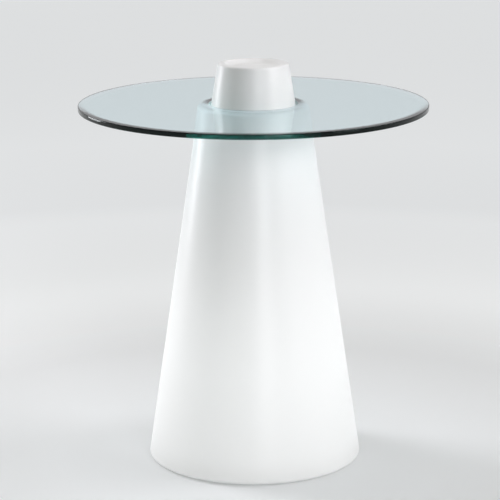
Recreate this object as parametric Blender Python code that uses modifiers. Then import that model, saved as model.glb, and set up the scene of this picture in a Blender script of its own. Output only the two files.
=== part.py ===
"""Light up table: a round glass top that rests on the shoulder of a hollow white cone, lit from inside.

Metres, +Z up. The front faces -Y, and the origin is on the floor under the middle of the table.
The lamp is a round module that is screwed under the cone. One moulded plate carries a battery,
a control board with its button and charging socket, and a disc of light diodes under an opal dome.
"""

import math

import bmesh
import bpy
from mathutils import Matrix, Vector
from mathutils.geometry import interpolate_bezier

ORIGIN = (0, 0, 0)

# Clearances and overlaps that the whole table shares
SEAT_GAP = 0.0003  # between pieces that touch
RUNNING_GAP = 0.0004  # round a piece that slides or turns
MERGE_DISTANCE = 0.00005
CUT_OVERRUN = 0.002  # how far a cutter passes the face that it opens
FUSE_BITE = 0.001  # how far fused shapes reach into each other

# Fineness of round shapes
SHELL_STEPS = 52
GLASS_STEPS = 60
PLATE_STEPS = 40
DOME_STEPS = 28
HOLE_SIDES = 14
SCREW_SIDES = 10
HEX_SIDES = 6
HALF_STEP = 0.5
ARC_STEP = math.radians(30)
HIDDEN_ARC_STEP = math.radians(90)
SHARP_ANGLE = math.radians(35)

# Glass top
GLASS_DIAMETER = 0.690
GLASS_THICKNESS = 0.010
GLASS_EDGE_ROUNDING = 0.0020
GLASS_HOLE_ROUNDING = 0.0010
GLASS_HOLE_GAP = 0.0035  # between the foot of the stub and the hole
SEAT_RING_THICKNESS = 0.0012
SEAT_RING_INSET = 0.0085  # from each side of the shoulder

# Cone shell, moulded in one piece with its stub, dish and recessed underside
TABLE_HEIGHT = 0.800
STUB_RISE = 0.080  # above the face of the glass
SHELL_WALL = 0.0045
CONE_FOOT_RADIUS = 0.2138
CONE_SHOULDER_RADIUS = 0.1095
STUB_FOOT_RADIUS = 0.0845
STUB_TOP_RADIUS = 0.0700
STUB_FOOT_FILLET = 0.0030
SHOULDER_ROUNDING = 0.0070
BASE_ROUNDING = 0.0080
RIM_ROUNDING = 0.0050
DISH_MOUTH_RADIUS = 0.0580
DISH_FLOOR_RADIUS = 0.0470
DISH_DEPTH = 0.009
DISH_CORNER_ROUNDING = 0.012
REST_RING_WIDTH = 0.049
RECESS_HEIGHT = 0.034
RECESS_DRAFT = 0.006
RECESS_EDGE_ROUNDING = 0.004
RECESS_CORNER_ROUNDING = 0.006

# Rubber feet
FOOT_COUNT = 4
FOOT_RADIUS = 0.012
FOOT_STAND = 0.0015  # how far the feet hold the shell off the floor
FOOT_POCKET_DEPTH = 0.0022
FOOT_EDGE_ROUNDING = 0.0007

# Module plate, its gasket and the screws and inserts that hold it
OPENING_RADIUS = 0.082
PLATE_OVERLAP = 0.018  # of the plate over the rim of the opening
PLATE_THICKNESS = 0.005
PLATE_EDGE_ROUNDING = 0.0015
PLATE_WALL = 0.0025
PLATE_WALL_HEIGHT = 0.016
OPENING_FIT_GAP = 0.001
GASKET_THICKNESS = 0.0015
GASKET_INSET = 0.0025
PLATE_SCREW_COUNT = 6
PLATE_SCREW_RADIUS = 0.0018
PLATE_SCREW_HEAD_RADIUS = 0.0036
PLATE_SCREW_HEAD_HEIGHT = 0.0024
PLATE_SCREW_GRIP = 0.0080
INSERT_WALL = 0.0014
INSERT_LENGTH = 0.010
INSERT_COVER = 0.0020  # of moulding over the insert's far end
COLLAR_WIDTH = 0.020

# Small screws inside the module
SMALL_SCREW_RADIUS = 0.0012
SMALL_SCREW_HEAD_RADIUS = 0.0024
SMALL_SCREW_HEAD_HEIGHT = 0.0015
SMALL_SCREW_GRIP = 0.0035
POST_WALL = 0.0020
HEX_SOCKET_SHARE = 0.5  # of the screw head, across and deep

# Battery
CELL_COUNT = 3
CELL_RADIUS = 0.0092
CELL_LENGTH = 0.065
CELL_CAP_RADIUS = 0.0055
CELL_CAP_HEIGHT = 0.0012
CELL_APART = 0.0012
TRAY_CENTRE_Y = 0.0200
TRAY_FLOOR = 0.0015
TRAY_END_WIDTH = 0.0065
TRAY_WALL = 0.0018
STRIP_THICKNESS = 0.0004
STRIP_HEIGHT = 0.0080
STRAP_WIDTH = 0.012
STRAP_THICKNESS = 0.0008
LEAD_RADIUS = 0.0009
LEAD_REACH = 0.014
LEAD_POINTS = 10

# Power button, its spring and its guide
BUTTON_X = -0.022
BUTTON_RADIUS = 0.0090
BUTTON_FLANGE_WIDTH = 0.0025
BUTTON_FLANGE_THICKNESS = 0.0015
BUTTON_PROUD = 0.0005
BUTTON_EDGE_ROUNDING = 0.0006
BUTTON_STEM_RADIUS = 0.0030
BUTTON_STEM_REACH = 0.0010
BUTTON_TRAVEL = 0.0015
SPRING_HEIGHT = 0.0072
SPRING_RADIUS = 0.0062
SPRING_WIRE_RADIUS = 0.00035
SPRING_TURNS = 4
SPRING_POINTS_PER_TURN = 10
GUIDE_WALL = 0.0015
GUIDE_LUG_RADIUS = 0.0036
GUIDE_LUG_REACH = 0.0030

# Control board and what is soldered to it
BOARD_LENGTH = 0.084
BOARD_WIDTH = 0.038
BOARD_THICKNESS = 0.0016
BOARD_SCREW_INSET = 0.0040
BOARD_TO_TRAY = 0.0065
COMPONENT_HEIGHT = 0.0060
CONNECTOR_X = 0.030
CONNECTOR_SIDE = 0.0050
CONNECTOR_HEIGHT = 0.0045
STATUS_DIODE_SIDE = 0.0018
STATUS_DIODE_HEIGHT = 0.0008
SWITCH_SIDE = 0.0060
SWITCH_HEIGHT = 0.0035
PLUNGER_RADIUS = 0.0017
PLUNGER_HEIGHT = 0.0010
# Each part's middle across and along, then its width and depth, as shares of the board,
# and its height, as a share of the tallest part's
BOARD_COMPONENT_SHARES = (
    (0.20, 0.42, 0.12, 0.30, 0.60),
    (0.38, 0.22, 0.10, 0.20, 0.35),
    (0.40, 0.68, 0.07, 0.16, 0.80),
    (0.66, 0.24, 0.14, 0.24, 1.00),
    (0.80, 0.60, 0.09, 0.30, 0.45),
    (0.66, 0.72, 0.06, 0.14, 0.30),
)

# Charging socket and status lens
SOCKET_X = 0.022
SOCKET_SIDE = 0.012
SOCKET_MOUTH_RADIUS = 0.0037
SOCKET_MOUTH_DEPTH = 0.0028
SOCKET_BORE_RADIUS = 0.0029
SOCKET_BORE_DEPTH = 0.0105
SOCKET_PIN_RADIUS = 0.0010
PLUG_HOLE_GAP = 0.0006  # of the plate's hole round the socket's mouth
LENS_RADIUS = 0.0020
LENS_FLANGE_WIDTH = 0.0014
LENS_FLANGE_THICKNESS = 0.0010

# Flap over the charging socket
FLAP_WIDTH = 0.0175
FLAP_LENGTH = 0.0138  # from its hinge's axis to its free end
FLAP_THICKNESS = 0.0018
FLAP_BARREL_RADIUS = 0.0016
FLAP_SUNK = 0.0003  # below the plate's face
FLAP_EDGE_GAP = 0.0004
FLAP_HINGE_GAP = 0.0007  # lets the flap open past the square
FLAP_TO_SOCKET = 0.0075  # from the hinge's axis to the socket's middle
FLAP_NOTCH_RADIUS = 0.0030
FLAP_NOTCH_DEPTH = 0.0010
FLAP_PIN_RADIUS = 0.0007
FLAP_PIN_HOLD = 0.0020  # of the pin in the plate at each side

# Lamp: spreader, diode board, dome and clamp ring on four posts
LAMP_RADIUS = 0.0765
LAMP_SCREW_COUNT = 4
LAMP_SCREW_INSET = 0.0055
LAMP_CLEARANCE = 0.0022  # over the tallest piece below the spreader
SPREADER_THICKNESS = 0.0020
DOME_RADIUS = 0.0640
DOME_HEIGHT = 0.040
DOME_WALL = 0.0020
DOME_FLANGE_THICKNESS = 0.0020
DOME_ARC_POINTS = 6
CLAMP_RING_THICKNESS = 0.0020
DIODE_BOARD_THICKNESS = 0.0016
DIODE_BOARD_GAP = 0.0030
DIODE_SIDE = 0.0050
DIODE_HEIGHT = 0.0014
DIODE_RING_RADIUS = 0.044
DIODE_RING_COUNT = 10
DIODE_CORE_RADIUS = 0.014
DIODE_CORE_COUNT = 4
DIODE_SCREW_RING_RADIUS = 0.030
DIODE_SCREW_COUNT = 3
LAMP_LEAD_RADIUS = 0.0015
LAMP_LEAD_X = 0.004
LAMP_LEAD_REACH = 0.004
LAMP_CONNECTOR_HEIGHT = 0.0030

# Heights worked out from the sizes above
GLASS_TOP_HEIGHT = TABLE_HEIGHT - STUB_RISE
GLASS_UNDERSIDE = GLASS_TOP_HEIGHT - GLASS_THICKNESS
SHOULDER_HEIGHT = GLASS_UNDERSIDE - SEAT_RING_THICKNESS - 2 * SEAT_GAP
DISH_FLOOR_HEIGHT = TABLE_HEIGHT - DISH_DEPTH
GASKET_TOP = RECESS_HEIGHT - SEAT_GAP
PLATE_TOP = GASKET_TOP - GASKET_THICKNESS - SEAT_GAP
PLATE_BOTTOM = PLATE_TOP - PLATE_THICKNESS
COUNTERBORE_DEPTH = PLATE_SCREW_HEAD_HEIGHT + SEAT_GAP
PLATE_SCREW_SEAT = PLATE_BOTTOM + COUNTERBORE_DEPTH
INSERT_BOTTOM = RECESS_HEIGHT + SEAT_GAP
INSERT_POCKET_TOP = INSERT_BOTTOM + INSERT_LENGTH + SEAT_GAP
COLLAR_TOP = INSERT_POCKET_TOP + INSERT_COVER
TRAY_BOTTOM = PLATE_TOP + SEAT_GAP
CELL_AXIS = TRAY_BOTTOM + TRAY_FLOOR + SEAT_GAP + CELL_RADIUS
STRAP_UNDERSIDE = CELL_AXIS + CELL_RADIUS + SEAT_GAP
FLANGE_BOTTOM = PLATE_TOP + SEAT_GAP
FLANGE_TOP = FLANGE_BOTTOM + BUTTON_FLANGE_THICKNESS
SPRING_BOTTOM = FLANGE_TOP + SEAT_GAP
GUIDE_CEILING = SPRING_BOTTOM + SPRING_HEIGHT + SEAT_GAP
GUIDE_TOP = GUIDE_CEILING + GUIDE_WALL
STEM_TOP = GUIDE_TOP + BUTTON_STEM_REACH
PLUNGER_BOTTOM = STEM_TOP + BUTTON_TRAVEL + SEAT_GAP
SWITCH_TOP = PLUNGER_BOTTOM + PLUNGER_HEIGHT + SWITCH_HEIGHT
BOARD_BOTTOM = SWITCH_TOP + SEAT_GAP
BOARD_TOP = BOARD_BOTTOM + BOARD_THICKNESS
LAMP_FLOOR = max(BOARD_TOP + COMPONENT_HEIGHT, STRAP_UNDERSIDE + STRAP_THICKNESS) + LAMP_CLEARANCE
SPREADER_TOP = LAMP_FLOOR + SPREADER_THICKNESS
DOME_BOTTOM = SPREADER_TOP + SEAT_GAP
DOME_FLANGE_TOP = DOME_BOTTOM + DOME_FLANGE_THICKNESS
CLAMP_RING_BOTTOM = DOME_FLANGE_TOP + SEAT_GAP
CLAMP_RING_TOP = CLAMP_RING_BOTTOM + CLAMP_RING_THICKNESS
DIODE_BOARD_BOTTOM = SPREADER_TOP + SEAT_GAP
DIODE_BOARD_TOP = DIODE_BOARD_BOTTOM + DIODE_BOARD_THICKNESS

# Radii and places worked out from the sizes above
RECESS_FOOT_RADIUS = CONE_FOOT_RADIUS - REST_RING_WIDTH
FOOT_CIRCLE_RADIUS = CONE_FOOT_RADIUS - REST_RING_WIDTH / 2
GLASS_HOLE_RADIUS = STUB_FOOT_RADIUS + GLASS_HOLE_GAP
PLATE_RADIUS = OPENING_RADIUS + PLATE_OVERLAP
PLATE_WALL_RADIUS = OPENING_RADIUS - OPENING_FIT_GAP
PLATE_SCREW_CIRCLE = OPENING_RADIUS + PLATE_OVERLAP / 2
PLATE_SCREW_HOLE = PLATE_SCREW_RADIUS + SEAT_GAP
INSERT_RADIUS = PLATE_SCREW_HOLE + INSERT_WALL
SMALL_HOLE = SMALL_SCREW_RADIUS + SEAT_GAP
POST_RADIUS = SMALL_HOLE + POST_WALL
CELL_PITCH = 2 * CELL_RADIUS + CELL_APART
TRAY_HALF_WIDTH = CELL_COUNT * CELL_PITCH / 2 + TRAY_END_WIDTH
STRIP_SLOT = STRIP_THICKNESS + 2 * SEAT_GAP
TRAY_HALF_LENGTH = CELL_LENGTH / 2 + CELL_CAP_HEIGHT + STRIP_SLOT + TRAY_WALL
TRAY_FRONT_Y = TRAY_CENTRE_Y - TRAY_HALF_WIDTH
TRAY_SCREW_OFFSET = TRAY_HALF_WIDTH - TRAY_END_WIDTH / 2
BOARD_REAR_Y = TRAY_FRONT_Y - BOARD_TO_TRAY
BOARD_CENTRE_Y = BOARD_REAR_Y - BOARD_WIDTH / 2
BOARD_FRONT_Y = BOARD_REAR_Y - BOARD_WIDTH
GUIDE_INNER_RADIUS = BUTTON_RADIUS + BUTTON_FLANGE_WIDTH + RUNNING_GAP
GUIDE_RADIUS = GUIDE_INNER_RADIUS + GUIDE_WALL
GUIDE_LUG_OFFSET = GUIDE_RADIUS + GUIDE_LUG_REACH
BUTTON_SPOT = (BUTTON_X, BOARD_CENTRE_Y)
SOCKET_SPOT = (SOCKET_X, BOARD_CENTRE_Y)
LENS_SPOT = (0, BOARD_CENTRE_Y)
FLAP_AXIS_Y = BOARD_CENTRE_Y + FLAP_TO_SOCKET
FLAP_AXIS_HEIGHT = PLATE_BOTTOM + FLAP_SUNK + FLAP_BARREL_RADIUS
FLAP_REBATE_TOP = FLAP_AXIS_HEIGHT + FLAP_BARREL_RADIUS + SEAT_GAP
LAMP_SCREW_CIRCLE = LAMP_RADIUS - LAMP_SCREW_INSET
DOME_INNER_RADIUS = DOME_RADIUS - DOME_WALL
CLAMP_RING_INNER_RADIUS = DOME_RADIUS + RUNNING_GAP
DIODE_BOARD_RADIUS = DOME_INNER_RADIUS - DIODE_BOARD_GAP
LAMP_LEAD_HOLE = LAMP_LEAD_RADIUS + RUNNING_GAP


# Scene


def clear_scene():
    for piece in list(bpy.data.objects):
        bpy.data.objects.remove(piece, do_unlink=True)
    for group in list(bpy.data.collections):
        bpy.data.collections.remove(group)


def add_collection(name):
    group = bpy.data.collections.new(name)
    bpy.context.scene.collection.children.link(group)
    return group


def look(name, colour, roughness, metallic=0.0, transmission=0.0, glow=0.0):
    """A Principled material, with a light of its own colour where glow isn't zero."""
    material = bpy.data.materials.new(name)
    material.use_nodes = True
    shader = material.node_tree.nodes["Principled BSDF"]
    shader.inputs["Base Color"].default_value = (*colour, 1.0)
    shader.inputs["Roughness"].default_value = roughness
    shader.inputs["Metallic"].default_value = metallic
    shader.inputs["Transmission Weight"].default_value = transmission
    shader.inputs["Emission Color"].default_value = (*colour, 1.0)
    shader.inputs["Emission Strength"].default_value = glow
    return material


def add_piece(name, mesh, material, place=ORIGIN):
    """A sub-part of the table, with its origin at place."""
    piece = bpy.data.objects.new(name, mesh)
    piece.location = place
    parts.objects.link(piece)
    piece.data.materials.clear()
    piece.data.materials.append(material)
    return piece


def add_helper(name, mesh, place):
    """A shape that only cuts or joins others, so it stays out of sight."""
    helper = bpy.data.objects.new(name, mesh)
    helper.location = place
    helper.hide_render = True
    helper.display_type = "WIRE"
    cutters.objects.link(helper)
    return helper


# Outlines


def rounded(corners, closed=False, arc_step=ARC_STEP):
    """The points of an outline whose corners, (radius, height, rounding), become tangent arcs."""
    points = []
    last = len(corners) - 1
    for index, (radius, height, rounding) in enumerate(corners):
        if rounding == 0 or (not closed and index in (0, last)):
            points.append((radius, height))
            continue
        corner = Vector((radius, height))
        before = (Vector(corners[index - 1][:2]) - corner).normalized()
        after = (Vector(corners[(index + 1) % len(corners)][:2]) - corner).normalized()
        half = before.angle(after) / 2
        centre = corner + (before + after).normalized() * rounding / math.sin(half)
        spoke = corner + before * rounding / math.tan(half) - centre
        turn = math.pi - 2 * half
        way = 1 if before.cross(after) < 0 else -1
        steps = math.ceil(turn / arc_step)
        for step in range(steps + 1):
            points.append(tuple(centre + Matrix.Rotation(way * turn * step / steps, 2) @ spoke))
    return points


def inset(corners, distance):
    """The corners of a wall's inner face, from an outline that runs down its outer side."""
    spots = [Vector(corner[:2]) for corner in corners]
    ways = [(end - start).normalized() for start, end in zip(spots, spots[1:])]
    sides = [Vector((way.y, -way.x)) for way in ways]
    moved = []
    for index, (spot, corner) in enumerate(zip(spots, corners)):
        before = sides[max(index - 1, 0)]
        after = sides[min(index, len(sides) - 1)]
        spot = spot + (before + after) * distance / (1 + before.dot(after))
        bulges = before.cross(after) < 0
        rounding = corner[2] - distance if bulges else corner[2] + distance
        moved.append((spot.x, spot.y, max(rounding, 0)))
    return moved


def dome_arc(radius, base, height):
    """An elliptical quarter from the axis at the top down to the radius at the base."""
    angles = [math.pi / 2 * step / DOME_ARC_POINTS for step in range(DOME_ARC_POINTS + 1)]
    return [(radius * math.sin(angle), base + height * math.cos(angle)) for angle in angles]


def on_circle(radius, count, start=0.0):
    """The (x, y) places of count pieces spread evenly round the middle."""
    angles = [start + math.tau * index / count for index in range(count)]
    return [(radius * math.cos(angle), radius * math.sin(angle)) for angle in angles]


# Shapes


def finished(shape, name="shape"):
    """The mesh of a bmesh, which is freed."""
    mesh = bpy.data.meshes.new(name)
    shape.to_mesh(mesh)
    shape.free()
    return mesh


def pegs(spots, radius, low, high, sides=HOLE_SIDES):
    """Closed upright cylinders at the (x, y) spots."""
    shape = bmesh.new()
    for x, y in spots:
        bmesh.ops.create_cone(
            shape,
            cap_ends=True,
            segments=sides,
            radius1=radius,
            radius2=radius,
            depth=high - low,
            matrix=Matrix.Translation((x, y, (low + high) / 2)),
        )
    return finished(shape)


def rods(spots, radius, half_length, sides=HOLE_SIDES):
    """Closed cylinders along X, centred on the (x, y, z) spots."""
    shape = bmesh.new()
    lying = Matrix.Rotation(math.pi / 2, 4, "Y")
    for spot in spots:
        bmesh.ops.create_cone(
            shape,
            cap_ends=True,
            segments=sides,
            radius1=radius,
            radius2=radius,
            depth=2 * half_length,
            matrix=Matrix.Translation(spot) @ lying,
        )
    return finished(shape)


def blocks(corners):
    """Closed boxes, each given by its low and its high corner."""
    shape = bmesh.new()
    for low, high in corners:
        low, high = Vector(low), Vector(high)
        bmesh.ops.create_cube(shape, size=1, matrix=Matrix.LocRotScale((low + high) / 2, None, high - low))
    return finished(shape)


def combine(piece, operation, mesh, name):
    modifier = piece.modifiers.new(name, "BOOLEAN")
    modifier.operation = operation
    modifier.object = add_helper(f"{piece.name}_{name}", mesh, piece.location)


def cut(piece, mesh, name):
    combine(piece, "DIFFERENCE", mesh, name)


def fuse(piece, mesh, name):
    combine(piece, "UNION", mesh, name)


def turned(name, outline, material, steps=PLATE_STEPS, place=ORIGIN, closed=False, offset=0):
    """A body of revolution about Z, from an outline that runs down its outer side.

    An offset of half a step keeps the edges of its faces off holes that lie along X and Y.
    """
    shape = bmesh.new()
    angle = math.tau * offset / steps
    across, along = math.cos(angle), math.sin(angle)
    corners = [shape.verts.new((radius * across, radius * along, height)) for radius, height in outline]
    ends = corners[1:] + corners[:1] if closed else corners[1:]
    for start, end in zip(corners, ends):
        shape.edges.new((start, end))
    piece = add_piece(name, finished(shape, name), material, place)
    screw = piece.modifiers.new("turn", "SCREW")
    screw.steps = steps
    screw.render_steps = steps
    screw.use_merge_vertices = True
    screw.merge_threshold = MERGE_DISTANCE
    return piece


def ring(name, inner, outer, low, high, material, steps=PLATE_STEPS, offset=0, roundings=(0, 0)):
    """A flat ring, with the rounding of its two inner edges and that of its two outer ones."""
    inside, outside = roundings
    corners = [(inner, high, inside), (outer, high, outside), (outer, low, outside), (inner, low, inside)]
    return turned(name, rounded(corners, closed=True), material, steps, closed=True, offset=offset)


def disc(name, radius, low, high, material):
    return add_piece(name, pegs([(0, 0)], radius, low, high, PLATE_STEPS), material)


def settle(piece):
    """Bakes the piece's modifiers into its mesh and shades it smooth between its sharp edges."""
    graph = bpy.context.evaluated_depsgraph_get()
    mesh = bpy.data.meshes.new_from_object(piece.evaluated_get(graph))
    mesh.name = piece.name
    mesh.shade_smooth()
    mesh.set_sharp_from_angle(angle=SHARP_ANGLE)
    piece.modifiers.clear()
    piece.data = mesh
    return piece


def tube(name, points, radius, material, resolution=2):
    curve = bpy.data.curves.new(name, "CURVE")
    curve.dimensions = "3D"
    curve.bevel_depth = radius
    curve.bevel_resolution = resolution
    curve.use_fill_caps = True
    spline = curve.splines.new("POLY")
    spline.points.add(len(points) - 1)
    for spot, point in zip(spline.points, points):
        spot.co = (*point, 1)
    return add_piece(name, curve, material)


def lead_route(start, start_way, end, end_way, reach, count):
    """A smooth route that leaves along start_way and arrives from end_way."""
    start, end = Vector(start), Vector(end)
    start_handle = start + Vector(start_way) * reach
    end_handle = end + Vector(end_way) * reach
    return interpolate_bezier(start, start_handle, end_handle, end, count)


def screw_mesh(name, radius, length, head_radius, head_height, material):
    """A socket screw that points down, with the seat of its head at height zero."""
    outline = [
        (0, head_height),
        (head_radius, head_height),
        (head_radius, 0),
        (radius, 0),
        (radius, -length),
        (0, -length),
    ]
    pattern = turned(name, outline, material, SCREW_SIDES)
    low = head_height * (1 - HEX_SOCKET_SHARE)
    high = head_height + CUT_OVERRUN
    cut(pattern, pegs([(0, 0)], head_radius * HEX_SOCKET_SHARE, low, high, HEX_SIDES), "socket")
    mesh = settle(pattern).data
    bpy.data.objects.remove(pattern)
    return mesh


def screws(name, mesh, spots, seat, material, upward=False):
    """A screw at each (x, y) spot with its head's seat at the given height."""
    for index, (x, y) in enumerate(spots, 1):
        piece = add_piece(f"{name}_{index}", mesh, material, (x, y, seat))
        if upward:
            piece.rotation_euler.x = math.pi


def small_screws(name, clamped, spots, seat):
    """Small screws whose length is what they clamp and their grip."""
    steel = look(f"{name}_steel", (0.70, 0.70, 0.68), 0.35, metallic=1.0)
    mesh = screw_mesh(
        f"{name}_shape",
        SMALL_SCREW_RADIUS,
        clamped + SMALL_SCREW_GRIP,
        SMALL_SCREW_HEAD_RADIUS,
        SMALL_SCREW_HEAD_HEIGHT,
        steel,
    )
    screws(name, mesh, spots, seat + SEAT_GAP, steel)


def small_hole(spots, seat, clamped):
    """A cutter for the small screws' holes, from above their seat down past their tips."""
    tip = seat - clamped - SMALL_SCREW_GRIP
    return pegs(spots, SMALL_HOLE, tip - SEAT_GAP, seat + CUT_OVERRUN, SCREW_SIDES)


# Places of the feet, the screws and the cells


def foot_spots():
    return on_circle(FOOT_CIRCLE_RADIUS, FOOT_COUNT, math.pi / FOOT_COUNT)


def plate_screw_spots():
    return on_circle(PLATE_SCREW_CIRCLE, PLATE_SCREW_COUNT, math.pi / PLATE_SCREW_COUNT)


def lamp_screw_spots():
    return on_circle(LAMP_SCREW_CIRCLE, LAMP_SCREW_COUNT)


def diode_screw_spots():
    return on_circle(DIODE_SCREW_RING_RADIUS, DIODE_SCREW_COUNT, math.pi / 2)


def board_screw_spots():
    across = BOARD_LENGTH / 2 - BOARD_SCREW_INSET
    front, rear = BOARD_FRONT_Y + BOARD_SCREW_INSET, BOARD_REAR_Y - BOARD_SCREW_INSET
    return [(x, y) for y in (front, rear) for x in (-across, across)]


def guide_screw_spots():
    x, y = BUTTON_SPOT
    return [(x, y - GUIDE_LUG_OFFSET), (x, y + GUIDE_LUG_OFFSET)]


def strap_screw_spots():
    return [(0, TRAY_CENTRE_Y - TRAY_SCREW_OFFSET), (0, TRAY_CENTRE_Y + TRAY_SCREW_OFFSET)]


def cell_rows():
    """The y of each cell's axis."""
    middle = (CELL_COUNT - 1) / 2
    return [TRAY_CENTRE_Y + (index - middle) * CELL_PITCH for index in range(CELL_COUNT)]


# Table


def make_base_shell():
    """The hollow cone with its stub, dish, shoulder and recessed underside, open at the lamp's opening."""
    skin = [
        (0, DISH_FLOOR_HEIGHT, 0),
        (DISH_FLOOR_RADIUS, DISH_FLOOR_HEIGHT, DISH_CORNER_ROUNDING),
        (DISH_MOUTH_RADIUS, TABLE_HEIGHT, RIM_ROUNDING),
        (STUB_TOP_RADIUS, TABLE_HEIGHT, RIM_ROUNDING),
        (STUB_FOOT_RADIUS, SHOULDER_HEIGHT, STUB_FOOT_FILLET),
        (CONE_SHOULDER_RADIUS, SHOULDER_HEIGHT, SHOULDER_ROUNDING),
        (CONE_FOOT_RADIUS, FOOT_STAND, BASE_ROUNDING),
        (RECESS_FOOT_RADIUS, FOOT_STAND, RECESS_EDGE_ROUNDING),
        (RECESS_FOOT_RADIUS - RECESS_DRAFT, RECESS_HEIGHT, RECESS_CORNER_ROUNDING),
        (OPENING_RADIUS, RECESS_HEIGHT, 0),
    ]
    inner = inset(skin, SHELL_WALL)
    collar_radius = OPENING_RADIUS + COLLAR_WIDTH
    inner[-1] = (collar_radius, RECESS_HEIGHT + SHELL_WALL, 0)
    collar = [(OPENING_RADIUS, COLLAR_TOP), (collar_radius, COLLAR_TOP)]
    outline = rounded(skin) + collar + rounded(inner[::-1], arc_step=HIDDEN_ARC_STEP)
    plastic = look("shell_plastic", (0.90, 0.90, 0.89), 0.38, glow=0.25)
    shell = turned("base_shell", outline, plastic, SHELL_STEPS)
    low, high = FOOT_STAND - CUT_OVERRUN, FOOT_STAND + FOOT_POCKET_DEPTH
    cut(shell, pegs(foot_spots(), FOOT_RADIUS + SEAT_GAP, low, high), "foot_pockets")
    low, high = RECESS_HEIGHT - CUT_OVERRUN, INSERT_POCKET_TOP
    pockets = pegs(plate_screw_spots(), INSERT_RADIUS + SEAT_GAP, low, high, SCREW_SIDES)
    cut(shell, pockets, "insert_pockets")
    settle(shell)


def make_feet():
    rubber = look("foot_rubber", (0.55, 0.55, 0.54), 0.75)
    top = FOOT_STAND + FOOT_POCKET_DEPTH - SEAT_GAP
    outline = rounded([(0, top, 0), (FOOT_RADIUS, top, 0), (FOOT_RADIUS, 0, FOOT_EDGE_ROUNDING), (0, 0, 0)])
    for index, (x, y) in enumerate(foot_spots(), 1):
        settle(turned(f"foot_{index}", outline, rubber, HOLE_SIDES, (x, y, 0)))


def make_glass_top():
    glass = look("clear_glass", (0.86, 0.95, 0.93), 0.02, transmission=1.0)
    settle(
        ring(
            "glass_top",
            GLASS_HOLE_RADIUS,
            GLASS_DIAMETER / 2,
            GLASS_UNDERSIDE,
            GLASS_TOP_HEIGHT,
            glass,
            GLASS_STEPS,
            roundings=(GLASS_HOLE_ROUNDING, GLASS_EDGE_ROUNDING),
        )
    )


def make_glass_seat_ring():
    inner = STUB_FOOT_RADIUS + SEAT_RING_INSET
    outer = CONE_SHOULDER_RADIUS - SEAT_RING_INSET
    low = SHOULDER_HEIGHT + SEAT_GAP
    soft = look("clear_silicone", (0.88, 0.90, 0.89), 0.30, transmission=0.7)
    settle(ring("glass_seat_ring", inner, outer, low, low + SEAT_RING_THICKNESS, soft, GLASS_STEPS))


# Module


def make_module_plate():
    """The plate under the opening, with a wall that centres it and posts for what it carries."""
    plastic = look("module_plastic", (0.78, 0.78, 0.77), 0.45)
    wall_top = PLATE_TOP + PLATE_WALL_HEIGHT
    inner = PLATE_WALL_RADIUS - PLATE_WALL
    outline = rounded(
        [
            (0, PLATE_TOP, 0),
            (inner, PLATE_TOP, 0),
            (inner, wall_top, 0),
            (PLATE_WALL_RADIUS, wall_top, 0),
            (PLATE_WALL_RADIUS, PLATE_TOP, 0),
            (PLATE_RADIUS, PLATE_TOP, 0),
            (PLATE_RADIUS, PLATE_BOTTOM, PLATE_EDGE_ROUNDING),
            (0, PLATE_BOTTOM, 0),
        ]
    )
    plate = turned("module_plate", outline, plastic, offset=HALF_STEP)
    foot = PLATE_TOP - FUSE_BITE
    fuse(plate, pegs(lamp_screw_spots(), POST_RADIUS, foot, LAMP_FLOOR - SEAT_GAP), "lamp_posts")
    fuse(plate, pegs(board_screw_spots(), POST_RADIUS, foot, BOARD_BOTTOM - SEAT_GAP), "board_posts")
    cut_module_plate(plate)
    settle(plate)


def cut_module_plate(plate):
    """The plate's holes for screws, and its ways through to the button, the lens and the socket."""
    below = PLATE_BOTTOM - CUT_OVERRUN
    above = PLATE_TOP + CUT_OVERRUN
    screw_spots = plate_screw_spots()
    cut(plate, pegs(screw_spots, PLATE_SCREW_HOLE, below, above, SCREW_SIDES), "screw_holes")
    head_hole = PLATE_SCREW_HEAD_RADIUS + RUNNING_GAP
    cut(plate, pegs(screw_spots, head_hole, below, PLATE_SCREW_SEAT), "counterbores")
    cut(plate, small_hole(lamp_screw_spots(), LAMP_FLOOR, 0), "lamp_post_holes")
    cut(plate, small_hole(board_screw_spots(), BOARD_BOTTOM, 0), "board_post_holes")
    cut(plate, small_hole(guide_screw_spots() + strap_screw_spots(), PLATE_TOP, 0), "blind_holes")
    cut(plate, pegs([BUTTON_SPOT], BUTTON_RADIUS + RUNNING_GAP, below, above), "button_hole")
    cut(plate, pegs([LENS_SPOT], LENS_RADIUS + SEAT_GAP, below, above), "lens_hole")
    cut(plate, pegs([SOCKET_SPOT], SOCKET_MOUTH_RADIUS + PLUG_HOLE_GAP, below, above), "plug_hole")
    half_width = FLAP_WIDTH / 2 + FLAP_EDGE_GAP
    front = FLAP_AXIS_Y - FLAP_LENGTH - FLAP_EDGE_GAP
    rear = FLAP_AXIS_Y + FLAP_BARREL_RADIUS + FLAP_HINGE_GAP
    rebate = ((SOCKET_X - half_width, front, below), (SOCKET_X + half_width, rear, FLAP_REBATE_TOP))
    cut(plate, blocks([rebate]), "flap_rebate")
    axis = (SOCKET_X, FLAP_AXIS_Y, FLAP_AXIS_HEIGHT)
    pin_reach = half_width + FLAP_PIN_HOLD + SEAT_GAP
    cut(plate, rods([axis], FLAP_PIN_RADIUS + SEAT_GAP, pin_reach, SCREW_SIDES), "pin_hole")


def make_module_gasket():
    silicone = look("gasket_silicone", (0.16, 0.16, 0.17), 0.6)
    inner, outer = OPENING_RADIUS + GASKET_INSET, PLATE_RADIUS - GASKET_INSET
    gasket = ring("module_gasket", inner, outer, GASKET_TOP - GASKET_THICKNESS, GASKET_TOP, silicone)
    low, high = PLATE_TOP, RECESS_HEIGHT + CUT_OVERRUN
    cut(gasket, pegs(plate_screw_spots(), PLATE_SCREW_HOLE, low, high, SCREW_SIDES), "screw_holes")
    settle(gasket)


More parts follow.
